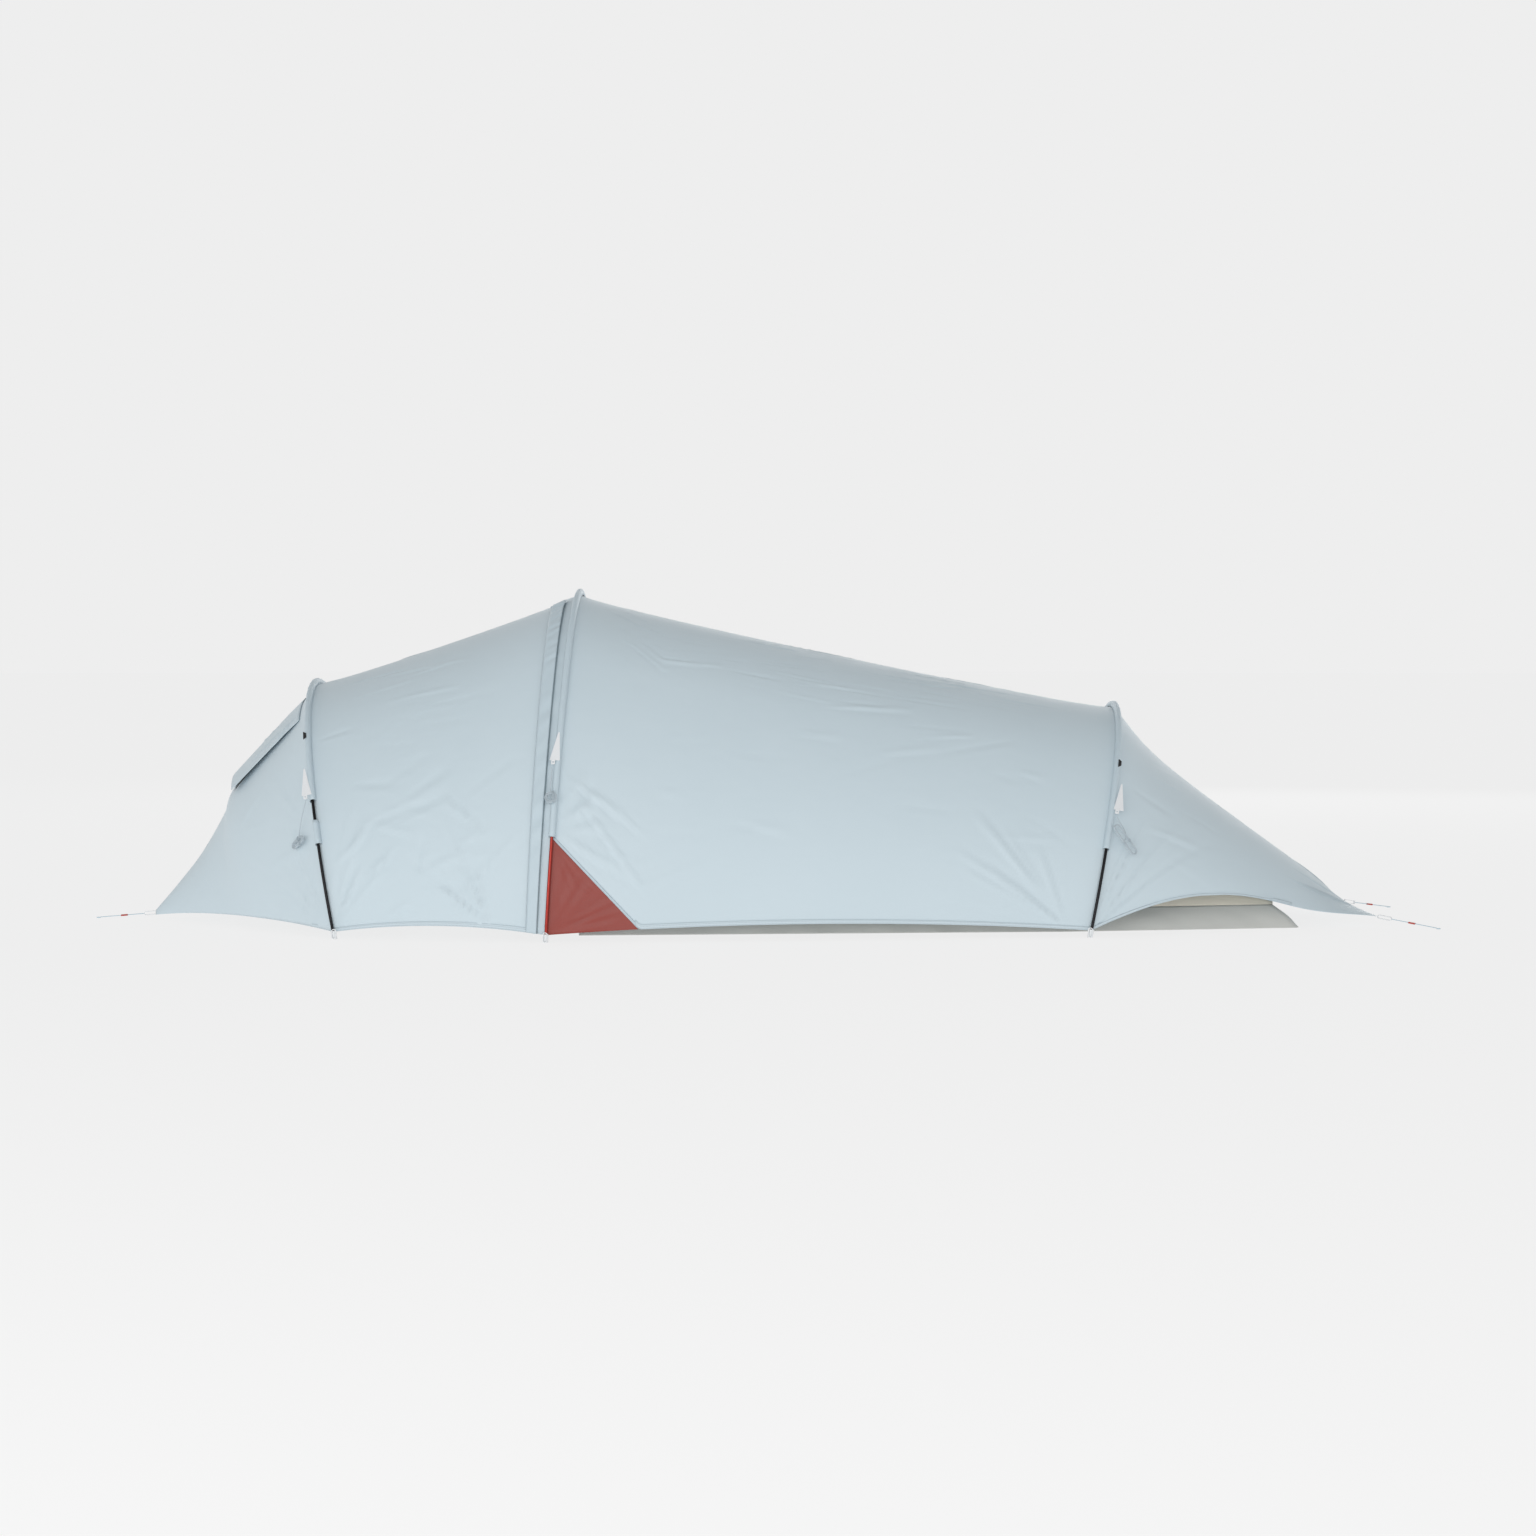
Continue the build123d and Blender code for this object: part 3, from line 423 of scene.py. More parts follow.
ICE, ICE_SHADE = (0.60, 0.70, 0.755), (0.56, 0.665, 0.72)
fly_cloth = ripstop("fly_cloth", ICE, ICE_SHADE)
sleeve_cloth = ripstop("sleeve_cloth", (0.54, 0.645, 0.70), (0.50, 0.60, 0.66))
red_cloth = ripstop("red_cloth", (0.31, 0.052, 0.038), (0.26, 0.042, 0.03), 0.45)
tub_cloth = ripstop("tub_cloth", (0.60, 0.61, 0.58), (0.52, 0.53, 0.51), 0.42)
inner_cloth = ripstop("inner_cloth", (0.70, 0.67, 0.58), (0.64, 0.61, 0.52), 0.75)


def stitched(name, colour, rows):
    """Webbing or a folded hem with rows of stitches; rows are distances up the flat strip."""
    finish = Finish(name, colour, 0.6)
    u, v, _ = finish.split(finish.flat())
    dash = u.to_and_fro(STITCH_PITCH / 2).maths("LESS_THAN", STITCH_PITCH * STITCH_DUTY / 2)
    seam = None
    for row in rows:
        near = v.maths("COMPARE", row, RIB)
        seam = near if seam is None else seam + near
    sewn = dash * seam
    rib = v.to_and_fro(RIB) / RIB
    dark = tuple(part * 0.72 for part in colour)
    finish.set("Base Color", finish.mix(sewn, colour, dark))
    finish.bump(rib * 0.15 + sewn * 1.2 - seam * 0.8, 0.5, RIB)
    return finish


hem_cloth = stitched("hem_cloth", (0.56, 0.66, 0.715), (0.003, 0.0085))
binding_cloth = stitched("binding_cloth", (0.50, 0.60, 0.66), (0.002, 0.009))
tape_cloth = stitched("tape_cloth", (0.30, 0.38, 0.42), (0.006,))
for finish in (fly_cloth, sleeve_cloth, red_cloth, tub_cloth, inner_cloth, hem_cloth):
    print("finish", finish.material.name, len(finish.tree.nodes), "nodes")


# %% [markdown]
# ## Poles, moulded parts and webbing
# The poles are anodised aluminium tube: coloured, satin, with faint marks drawn along their length. Cups and
# tensioners are moulded, with a fine spark-eroded grain. Rings and patches are woven, and painted shade
# darkens the hollows of their weave.

# %% Hard finishes
def anodised(name, colour, roughness):
    """Satin anodised tube with faint drawn marks."""
    finish = Finish(name, colour, roughness, metallic=0.85)
    marks = finish.noise(260.0, 3.0, (1.0, 0.25, 0.12))
    finish.set("Roughness", marks * 0.18 + (roughness - 0.09))
    finish.bump(marks, 0.08, 0.0003)
    return finish


def moulded(name, colour, roughness=0.45):
    """Moulded plastic with a fine grain and slightly scuffed gloss."""
    finish = Finish(name, colour, roughness)
    grain = finish.noise(1400.0, 2.0)
    scuff = finish.noise(60.0, 4.0)
    finish.set("Roughness", scuff * 0.2 + (roughness - 0.1))
    finish.bump(grain, 0.12, 0.0003)
    return finish


def woven(name, colour, pitch=0.0011):
    """Woven webbing or braid, from the place on the object, with painted shade in the hollows of the weave.
    """
    finish = Finish(name, colour, 0.8)
    x, y, z = finish.split(finish.place())
    rows = (x + y + z).to_and_fro(pitch) / pitch
    back = (x + y - z).to_and_fro(pitch) / pitch
    weave = rows.maths("MAXIMUM", back)
    # painted shade: the colour darkens where the weave's height is low, in the hollows between the threads
    dark = tuple(part * 0.8 for part in colour)
    finish.set("Base Color", finish.mix(weave, dark, colour))
    finish.bump(weave, 0.5, 0.0004)
    return finish


black_pole = anodised("black_pole", (0.018, 0.018, 0.02), 0.34)
red_pole = anodised("red_pole", (0.36, 0.045, 0.035), 0.34)
bare_metal = anodised("bare_metal", (0.75, 0.75, 0.77), 0.3)
white_plastic = moulded("white_plastic", (0.82, 0.84, 0.85))
black_plastic = moulded("black_plastic", (0.015, 0.015, 0.016), 0.4)
red_plastic = moulded("red_plastic", (0.45, 0.055, 0.04), 0.35)
white_webbing = woven("white_webbing", (0.84, 0.86, 0.88))
elastic = woven("elastic", (0.75, 0.75, 0.73))
pale_braid = woven("pale_braid", (0.52, 0.60, 0.65), 0.0009)
ice_braid = woven("ice_braid", (0.55, 0.68, 0.76), 0.0009)

for names, finish in (
    (("front_pole", "rear_pole"), black_pole),
    (("middle_pole",), red_pole),
    (("pole_ferrules", "pole_tips"), bare_metal),
    (("pole_shock_cords",), elastic),
    (("pole_feet", "guy_runners", "zip_slider"), white_plastic),
    (("sleeve_keepers", "vent_hood_stiffener"), black_plastic),
    (("peg_rings", "guy_patches"), white_webbing),
    (("tensioner_nose", "tensioner_tail_near", "tensioner_tail_far"), red_plastic),
    (("ground_eyes",), ice_braid),
):
    for name in names:
        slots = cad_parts[name].data.materials
        slots.clear()
        slots.append(finish.material)
        print("finished", name)

# %% [markdown]
# ## Hems and sag
# Cloth pulled between curved poles is a saddle: it arches across and dips along. The dip is quick beside a
# pole and slow in the middle of a bay. Hems are cut as shallow arches, so that they pull tight.

# %% Hem and sag curves
def curve_through(points, power):
    """Height of a hem by its place along the tent."""
    fit = np.polyfit(*np.array(points, float).T * MM, power)
    return lambda x: np.polyval(fit, x)


nose_hem = curve_through([(-1915, 8), (-1726, 30), (-1544, 38), (-1237, 20)], 3)
door_hem = curve_through([(-1237, 20), (-951, 42), (-610, 20)], 2)
main_hem = curve_through([(-610, 20), (217, 46), (986, 20)], 2)
tail_hem = curve_through([(986, 20), (1110, 69), (1198, 100), (1338, 111), (1493, 98), (1644, 58)], 4)


def up_door(shares, top, count, mirrored=False):
    """Sections at shares of the vestibule, and turns there from the door's hem upwards."""
    rows = along(MIDDLE, FRONT, shares)
    low = turn_at(rows, door_hem(rows[:, 0]))
    return rows, spread_turns(low, np.full(len(rows), top), count, mirrored)


def dip(shares, deep):
    """How far the cloth sinks between two poles."""
    return deep * np.clip(4 * shares * (1 - shares), 0, 1) ** 0.42


def creased(rows, turns, shares, folds, ramp=0.05):
    """Lift of a panel by its pulls: none beside a pole, all of it in the open."""
    flat = flat_of(lie(rows[:, None, :], turns)[0])
    free = np.clip(np.minimum(shares, 1 - shares) / ramp, 0, 1)[:, None] * np.ones_like(turns)
    return sum(pulls(flat, *fold) for fold in folds) * free


def wrinkled(rows, turns, shares, deep, folds, hip_share):
    """Set-off of a panel from its sections: dip along the tent and pulls in the cloth."""
    low = np.minimum(turns, 180 - turns) / 90
    lift = creased(rows, turns, shares, folds)
    return lift - dip(shares, deep)[:, None] * (hip_share + (1 - hip_share) * low)


def sew(piece, finish, rests_on, stands_for=(), body="tent"):
    """Finishes a sheet, hides the parts it stands for, and hangs it on its body, or bakes it in place for the
    door.
    """
    paint(piece, finish)
    if stands_for:
        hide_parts(*stands_for)
    if body == "door":
        fold_over(piece)
    else:
        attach(piece, body)


# %% [markdown]
# ## Main bay
# The biggest panels run from the middle arch to the rear arch. A red triangle fills each lower front
# corner, so the pale panel's edge follows its diagonal there. Pulls lie along the tent near the ridge and
# fan out from the feet of both poles and from the guyline patches.

# %% Main bay
GUSSET_TOP = 0.304
BAY_DIP, VESTIBULE_DIP, TAIL_DIP = 0.024, 0.016, 0.010  # how deep each stretch of cloth sinks
main_shares = np.linspace(0.0, 1.0, 170)
main_rows = along(MIDDLE, REAR, main_shares)
main_foot = main_rows[:, 0]
diagonal = GUSSET_TOP - (main_foot - main_foot[0])
main_low = turn_at(main_rows, np.maximum(main_hem(main_foot), diagonal))
main_turns = spread_turns(main_low, np.full(len(main_rows), 90.0), 140)
LONG = 1.62  # rough length of the flat main panel


def main_folds(seed):
    random = np.random.default_rng(seed)
    return [
        drift(random, (0.05, 0.75), (1.35, 1.2), (0.10, 0.34), (-6, 4), 110, 0.0045, 0.0012),
        drift(random, (0.1, 0.25), (1.5, 0.8), (0.1, 0.3), (0, 10), 34, 0.009, 0.0012),
        fan(random, (0.0, 0.02), (0.15, 0.5), (15, 80), 16, 0.008, 0.0022),
        fan(random, (LONG, 0.0), (0.15, 0.5), (100, 172), 18, 0.008, 0.0022),
        fan(random, (0.01, 0.2), (0.1, 0.35), (-40, 35), 10, 0.007, 0.0018),
    ]


for side, mirrored in (("near", False), ("far", True)):
    turns = 180 - main_turns if mirrored else main_turns
    out = wrinkled(main_rows, turns, main_shares, BAY_DIP, main_folds(3 + mirrored), 0.25)
    piece = panel("main_bay_" + side, main_rows, turns, out, facing=-1 if mirrored else 1)
    sew(piece, fly_cloth, ["middle_pole", "rear_pole"], ["fly_main_" + side])

# %% [markdown]
# ## Red corner pieces
# A triangle of red cloth behind each foot of the middle pole takes the pull of the guyline there. A pale
# binding covers the seam along its diagonal.

# %% Red corners and their bindings
corner_count = int((np.maximum(diagonal, 0) > main_hem(main_foot)).sum())
corner_rows, corner_shares = main_rows[:corner_count], main_shares[:corner_count]
corner_turns = spread_turns(turn_at(corner_rows, main_hem(corner_rows[:, 0])), main_low[:corner_count], 34)


def corner_folds(seed):
    random = np.random.default_rng(seed)
    return [
        fan(random, (0.0, 0.0), (0.1, 0.34), (8, 82), 14, 0.007, 0.0022),
        fan(random, (0.0, 0.28), (0.1, 0.3), (-80, -40), 8, 0.006, 0.0016),
    ]


for side, mirrored in (("near", False), ("far", True)):
    turns = 180 - corner_turns if mirrored else corner_turns
    out = wrinkled(corner_rows, turns, corner_shares, BAY_DIP, corner_folds(11 + mirrored), 0.25)
    piece = panel("red_corner_" + side, corner_rows, turns, out, facing=-1 if mirrored else 1)
    sew(piece, red_cloth, ["middle_pole"], ["gussets"])
    low = main_low[:corner_count] - 0.18
    strip = spread_turns(low, low + 0.5, 4)
    strip = 180 - strip if mirrored else strip
    out = wrinkled(corner_rows, strip, corner_shares, BAY_DIP, [], 0.25) + 0.0009
    binding = panel("corner_binding_" + side, corner_rows, strip, out, facing=-1 if mirrored else 1)
    sew(binding, binding_cloth, ["middle_pole"], ["gusset_bindings"])

# %% [markdown]
# ## Vestibule and door
# The door side of the vestibule is one sheet. On the tent its lower part folds back with the door; here the
# line of that fold is worked out, but the sheet is not bent or blended across it.

# %% Vestibule sheets
DOOR_LOW, DOOR_HIGH_TURN = (-1.172, 0.070), 36.5  # the fold's low end in X and Z, and its high end
zip_row = along(MIDDLE, FRONT, [ZIP_SHARE])
fold_high = lie(zip_row, np.array([DOOR_HIGH_TURN]))[0][0]
fold_low = np.array([DOOR_LOW[0], fold_high[1], DOOR_LOW[1]])
fold_way = (fold_high - fold_low) * (1, 0, 1)
fold_way /= np.linalg.norm(fold_way)
fold_down = np.array([fold_way[2], 0.0, -fold_way[0]])  # square to the fold in side view, towards the door


def fold_over(piece):
    """Bakes a piece's transform into its mesh."""
    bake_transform(piece)


def vestibule_folds(seed):
    random = np.random.default_rng(seed)
    return [
        drift(random, (0.02, 0.5), (0.4, 1.1), (0.08, 0.25), (10, 8), 26, 0.007, 0.0013),
        drift(random, (0.02, 0.02), (0.5, 0.45), (0.1, 0.3), (35, 25), 26, 0.009, 0.0020),
        fan(random, (0.62, 0.0), (0.12, 0.45), (100, 170), 16, 0.008, 0.0024),
        fan(random, (0.0, 0.0), (0.12, 0.4), (15, 80), 12, 0.008, 0.0020),
        fan(random, (0.62, 0.26), (0.1, 0.3), (130, 215), 12, 0.006, 0.0018),
    ]


door_shares = np.linspace(1.0, ZIP_SHARE + 0.0006, 70)
for side, shares in (("near", door_shares), ("far", np.linspace(1.0, 0.0, 74))):
    rows, turns = up_door(shares, 90.0, 132, side == "far")
    out = wrinkled(rows, turns, shares, VESTIBULE_DIP, vestibule_folds(21 + (side == "far")), 0.3)
    piece = panel("vestibule_cloth_" + side, rows, turns, out, facing=1)
    near_nodes = ["vestibule_near", "door_panel", "door_fold"]
    stands_for, body = (near_nodes, "door") if side == "near" else (["vestibule_far"], "tent")
    sew(piece, fly_cloth, ["front_pole", "middle_pole"], stands_for, body)

# %% [markdown]
# ## Zip, its flap and the strip beside the middle arch
# The zip runs up beside the middle arch. A narrow strip of fly holds one tape, the door holds the other,
# and a storm flap sewn to the door covers both. Only one edge of the flap is sewn, so it ruffles.

# %% Strip, tapes and storm flap
strip_shares = np.linspace(ZIP_SHARE - 0.0006, 0.0, 6)
strip_rows, strip_turns = up_door(strip_shares, 90.0, 132)
strip = panel("zip_strip", strip_rows, strip_turns, -dip(strip_shares, VESTIBULE_DIP)[:, None] * 0.3)
sew(strip, fly_cloth, ["middle_pole"], ["fly_main_near"])

ZIP_TOP, TAPE_SHARE, TAPE_GAP = 76.0, 0.02, 0.0008
TAPES = {  # the shares between which each lies, what it is sewn to, its body and what it stands for
    "fly": (ZIP_SHARE - TAPE_GAP, ZIP_SHARE - TAPE_SHARE, "zip_strip", "tent", ["zip_tape_fly"]),
    "door": (ZIP_SHARE + TAPE_SHARE, ZIP_SHARE + TAPE_GAP, "vestibule_cloth_near", "door",
             ["zip_tape_door", "zip_tape_door_top"]),
}
for label, (first, last, backing, body, stands_for) in TAPES.items():
    shares = np.linspace(first, last, 4)
    rows, turns = up_door(shares, ZIP_TOP, 170)
    tape = panel("tape_" + label, rows, turns, 0.0012 - dip(shares, VESTIBULE_DIP)[:, None] * 0.3)
    sew(tape, tape_cloth, [backing], stands_for, body)

FLAP_SHARES, FLAP_OUT = (0.095, 0.045), 0.0088
flap_shares = np.linspace(*FLAP_SHARES, 9)
flap_rows, flap_turns = up_door(flap_shares, ZIP_TOP, 260)
free_edge = ((FLAP_SHARES[0] - flap_shares) / (FLAP_SHARES[0] - FLAP_SHARES[1]))[:, None]
random = np.random.default_rng(31)
ruffle = sum(
    height * np.sin(np.radians(flap_turns) * rate + slant * free_edge + shift)
    for rate, slant, shift, height in zip(*(
        random.uniform(low, high, 9) for low, high in ((30, 120), (-3, -1), (0, 6), (0.0004, 0.0012))
    ))
)
stand = FLAP_OUT * np.clip(free_edge * 9, 0.12, 1)
flap = panel("storm_flap_cloth", flap_rows, flap_turns, stand + ruffle * (0.35 + free_edge * 0.65))
flap_nodes = ["storm_flap", "storm_flap_top"]
sew(flap, sleeve_cloth, ["vestibule_cloth_near"], flap_nodes, "door")

# %% Patch over the top of the flap
patch_rows = along(MIDDLE, FRONT, np.linspace(0.10, 0.035, 6))
patch_turns = np.tile(np.linspace(ZIP_TOP - 1.6, ZIP_TOP + 1.4, 8), (6, 1))
patch_stand = np.linspace(0.0035, FLAP_OUT + 0.0018, 6)[:, None] * np.linspace(1.0, 0.45, 8)
patch = panel("flap_patch", patch_rows, patch_turns, patch_stand)
sew(patch, binding_cloth, ["vestibule_cloth_near"])

# %% [markdown]
# ## Nose
# In front of the front arch the cloth runs down to one pegged ring. High up it has a mesh window, and a
# stiffened hood keeps rain out of it.

# %% Nose sheet and window
VENT_TURN = 68.0
NECK_ROWS, WINDOW_ROWS, TIP_ROWS = 10, 22, 62  # rows to the neck, to the brow and to the tip
SIDE_COLUMNS, WINDOW_COLUMNS = 66, 38
places = np.concatenate([
    np.linspace(0, 1, NECK_ROWS)[:-1],
    np.linspace(1, 2, WINDOW_ROWS)[:-1],
    np.linspace(2, 6, TIP_ROWS),
])
nose_rows = through(NOSE, places)
nose_low = turn_at(nose_rows, nose_hem(nose_rows[:, 0]).clip(0.004, 0.05))
up_side = spread_turns(nose_low, np.full(len(places), VENT_TURN), SIDE_COLUMNS)
window_turns = np.tile(np.linspace(VENT_TURN, 180 - VENT_TURN, WINDOW_COLUMNS), (len(places), 1))
nose_turns = np.concatenate([up_side[:, :-1], window_turns, 180 - up_side[:, -2::-1]], axis=1)
in_window = np.zeros((len(places) - 1, nose_turns.shape[1] - 1), bool)
first_row, first_column = NECK_ROWS - 1, SIDE_COLUMNS - 1
in_window[first_row:first_row + WINDOW_ROWS - 1, first_column:first_column + WINDOW_COLUMNS - 1] = True
random = np.random.default_rng(41)
nose_shares = places / 6
nose_folds = [
    drift(random, (0.1, 0.1), (0.6, 1.4), (0.1, 0.3), (-30, 25), 26, 0.008, 0.0016),
    fan(random, (0.0, 0.0), (0.1, 0.45), (10, 80), 16, 0.008, 0.0024),
    fan(random, (0.0, 0.28), (0.1, 0.4), (-40, 50), 14, 0.007, 0.0020),
]
nose_lift = creased(nose_rows, nose_turns, nose_shares, nose_folds)
nose_lift *= (nose_rows[:, 1] / FRONT[1])[:, None]
under_hood = (places < 2.8)[:, None] & (np.abs(nose_turns - 90) < 42)  # the hood's rod swings close over here
nose_lift = np.where(under_hood, np.minimum(nose_lift, 0.0), nose_lift)
nose = panel("nose_cloth", nose_rows, nose_turns, nose_lift, in_window, facing=-1)
sew(nose, fly_cloth, ["front_pole", "peg_rings"], ["fly_nose_near", "fly_nose_far"])

# %% [markdown]
# ## Tail
# Behind the rear arch the cloth narrows to a wide, low end that two pegged corners hold. Its end hem is
# drawn in between them, and its side hems are cut high, so that air gets in over the floor of the tent.

# %% Tail sheet
TAIL_CORNER_X, TAIL_HALF, TAIL_Z, TAIL_PULL, TAIL_LIFT = 1.901, 0.260, 0.030, 0.060, 0.025
TAIL_STATIONS = [REAR, HIP, RUMP, RUMP + (RUMP - HIP) * 0.62]
tail_places = np.linspace(0, 2, 52)
tail_rows = through(TAIL_STATIONS, tail_places)
tail_low = turn_at(tail_rows, tail_hem(tail_rows[:, 0]).clip(0.02, 0.112))
tail_turns = np.concatenate([spread_turns(tail_low, np.full(52, 90.0), 84)[:, :-1],
                             spread_turns(tail_low, np.full(52, 90.0), 84, True)], axis=1)
random = np.random.default_rng(51)
tail_folds = [
    drift(random, (0.05, 0.1), (0.8, 1.2), (0.15, 0.4), (-14, 12), 26, 0.008, 0.0016),
    fan(random, (0.0, 0.0), (0.15, 0.5), (15, 80), 14, 0.008, 0.0024),
    fan(random, (0.0, 1.5), (0.15, 0.5), (-80, -15), 14, 0.008, 0.0024),
]
tail_shares = tail_places / 3
tail_lift = wrinkled(tail_rows, tail_turns, tail_shares, TAIL_DIP, tail_folds, 0.2)
start_points, _ = lie(tail_rows[:, None, :], tail_turns, tail_lift)
share_across = 1 - 2 * np.linspace(0, 1, tail_turns.shape[1])
end_line = np.stack([
    TAIL_CORNER_X - TAIL_PULL * (1 - share_across**2),
    -TAIL_HALF * share_across,
    TAIL_Z + TAIL_LIFT * (1 - share_across**2),
], -1)
hips = (start_points[-1] - start_points[-2]) * 25
t = np.linspace(0, 1, 36)[1:, None, None]
end_points = ease(start_points[-1], end_line, hips, (end_line - start_points[-1]) * 0.8, t)
tail_points = np.concatenate([start_points, end_points])
tail = sheet_of("tail_cloth", tail_points, grid_faces(*tail_points.shape[:2]))
sew(tail, fly_cloth, ["rear_pole", "peg_rings"], ["fly_tail_near", "fly_tail_far"])

# %% [markdown]
# ## Pole sleeves
# Each pole runs in a tunnel of cloth sewn along the arch. Between stitches the tunnel puckers. It stops
# above the ground, where the bare pole goes on to its cup, and the front one is open for a hand's width.

# %% Sleeves
SLEEVE_OUT, SLEEVE_HALF = 0.0168, 0.0092
SLEEVES = {
    "front": (FRONT, (273, 339, 397), (0.95, 0.18)),
    "middle": (MIDDLE, (302,), (0.16, 0.09)),
    "rear": (REAR, (255,), (0.10, 0.60)),
}


def sleeve(name, arch, start, stop, falls, seed):
    """A tunnel over the pole between two turns; falls are how fast the cloth drops away on either side."""
    random = np.random.default_rng(seed)
    steps = max(int((stop - start) * 1.6), 6)
    turns = np.linspace(start, stop, steps)[:, None]
    around = np.linspace(0, 1, 15)[None, :]
    lean = math.atan2(arch[2], arch[3])
    forward = np.array([math.cos(lean), 0.0, -math.sin(lean)])
    bell = np.sin(np.pi * around) ** 0.55
    pucker = 0.0007 * np.sin(np.radians(turns) * 70) * np.sin(2 * np.pi * around)
    pucker += 0.0005 * np.sin(np.radians(turns) * random.uniform(120, 160) + around * 7)
    shift = -np.cos(np.pi * around) * SLEEVE_HALF
    fall = np.where(shift < 0, -falls[0] * shift, falls[1] * shift)
    out = SLEEVE_OUT * bell - fall * (1 - bell) - 0.0012 * (1 - bell) + pucker * bell
    points, _ = lie(np.broadcast_to(arch, (1, 1, 5)), np.broadcast_to(turns, out.shape), out)
    points = points + shift[..., None] * forward
    return sheet_of(name, points, grid_faces(*points.shape[:2])[::-1], 1.0)


for number, (name, (arch, heights, falls)) in enumerate(SLEEVES.items()):
    edges = [float(turn_at(arch, height * MM)) for height in heights]
    spans = [(edges[-1], 180 - edges[-1])]
    if len(edges) > 1:
        spans += [(edges[0], edges[1]), (180 - edges[1], 180 - edges[0])]
    for part, (start, stop) in enumerate(spans):
        piece = sleeve(f"sleeve_{name}_{part}", arch, start, stop, falls, 60 + number * 4 + part)
        sew(piece, sleeve_cloth, [name + "_pole"], [name + "_sleeve"])

# %% [markdown]
# ## Hems
# The lower edges are folded over and stitched twice. Each hem is a narrow strip just outside its sheet.

# %% Hems
HEM_WIDE = 0.011
HEM_STOP = 88  # the nose's hem ends this many rows along, short of the tip


def hem(side, sheet, rows, low, shares=None, deep=0.0, hip_share=0.0, body="tent"):
    """A stitched strip along the lower edge of a sheet."""
    high = low + np.degrees(HEM_WIDE / (rows[:, 1] * 1.35))
    turns = spread_turns(low - 0.03, high, 4, side == "far")
    out = 0.0009 - (dip(shares, deep)[:, None] * hip_share if deep else 0.0)
    name, rests_on = sheet
    strip = panel(f"hem_{name}_{side}", rows, turns, out + 0 * turns)
    sew(strip, hem_cloth, [rests_on], body=body)


after_corner = slice(corner_count - 2, None)
for side in ("near", "far"):
    hem(side, ("main", "main_bay_" + side), main_rows[after_corner], main_low[after_corner],
        main_shares[after_corner], BAY_DIP, 0.25)
    hem(side, ("nose", "nose_cloth"), nose_rows[:HEM_STOP], nose_low[:HEM_STOP])
    hem(side, ("tail", "tail_cloth"), tail_rows, tail_low, tail_shares, TAIL_DIP, 0.2)
    shares = door_shares if side == "near" else np.linspace(1.0, 0.0, 74)
    rows = along(MIDDLE, FRONT, shares)
    hem(side, ("vestibule", "vestibule_cloth_" + side), rows, turn_at(rows, door_hem(rows[:, 0])), shares,
        VESTIBULE_DIP, 0.3, "door" if side == "near" else "tent")

# %% [markdown]
# ## Vent
# The window is fine black netting. The hood over it is one sheet, sewn to the fly along its upper edge and
# held open by a stiff rod in its lip. It swings on that seam, but here it is baked in place, not blended to a
# body of its own.

# %% Vent window and hood
NET_HALF, NET_THREAD = 0.0007, 0.00022
net = Finish("net", (0.03, 0.035, 0.04), 0.8)
u, v, _ = net.split(net.flat())
across, up = (axis.to_and_fro(NET_HALF).maths("GREATER_THAN", NET_THREAD) for axis in (u, v))
net.set("Alpha", 1 - across * up * 0.75)
net.bump(across * up, 0.3, 0.0003)

mesh_rows = through(NOSE, np.linspace(1, 2, WINDOW_ROWS))
mesh_turns = np.tile(np.linspace(VENT_TURN, 180 - VENT_TURN, WINDOW_COLUMNS), (WINDOW_ROWS, 1))
window = panel("vent_window", mesh_rows, mesh_turns, -0.0006, facing=-1)
sew(window, net, ["nose_cloth"], ["vent_mesh"])

HOOD_TURN, HOOD_LIP = 60.0, section(-1480, 410, 484, -18.6)
hood_root = along(FRONT, NECK, [0.62])[0]
hood_shares = np.linspace(0, 1, 30)
hood_rows = along(hood_root, HOOD_LIP, hood_shares)
hood_turns = np.tile(np.linspace(HOOD_TURN, 180 - HOOD_TURN, 64), (30, 1))
random = np.random.default_rng(71)
hood_folds = [
    fan(random, (0.0, 0.05), (0.1, 0.28), (-20, 60), 10, 0.006, 0.0018),
    fan(random, (0.0, 0.42), (0.1, 0.28), (-60, 20), 10, 0.006, 0.0018),
    drift(random, (0.05, 0.02), (0.2, 0.5), (0.04, 0.12), (80, 18), 14, 0.006, 0.0012),
]
hood_lift = creased(hood_rows, hood_turns, hood_shares, hood_folds, 0.12)
hood_stand = 0.0015 + 0.004 * np.clip(hood_shares * 5, 0, 1) - 0.004 * hood_shares
hood_out = hood_stand[:, None] + hood_lift.clip(-0.001, 1)
hood = panel("hood_cloth", hood_rows, hood_turns, hood_out, facing=-1)
paint(hood, fly_cloth)
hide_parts("vent_hood")
hood_top = lie(hood_root, np.array(90.0))[0]
hood_slope = lie(HOOD_LIP, np.array(90.0))[0] - hood_top
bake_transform(hood)

# %% [markdown]
# ## Inner tent
# A breathable canopy hangs inside the fly on a coated tub. Its sections change slowly from a tall head
# end to a low foot end. The head wall has a round-cornered door.

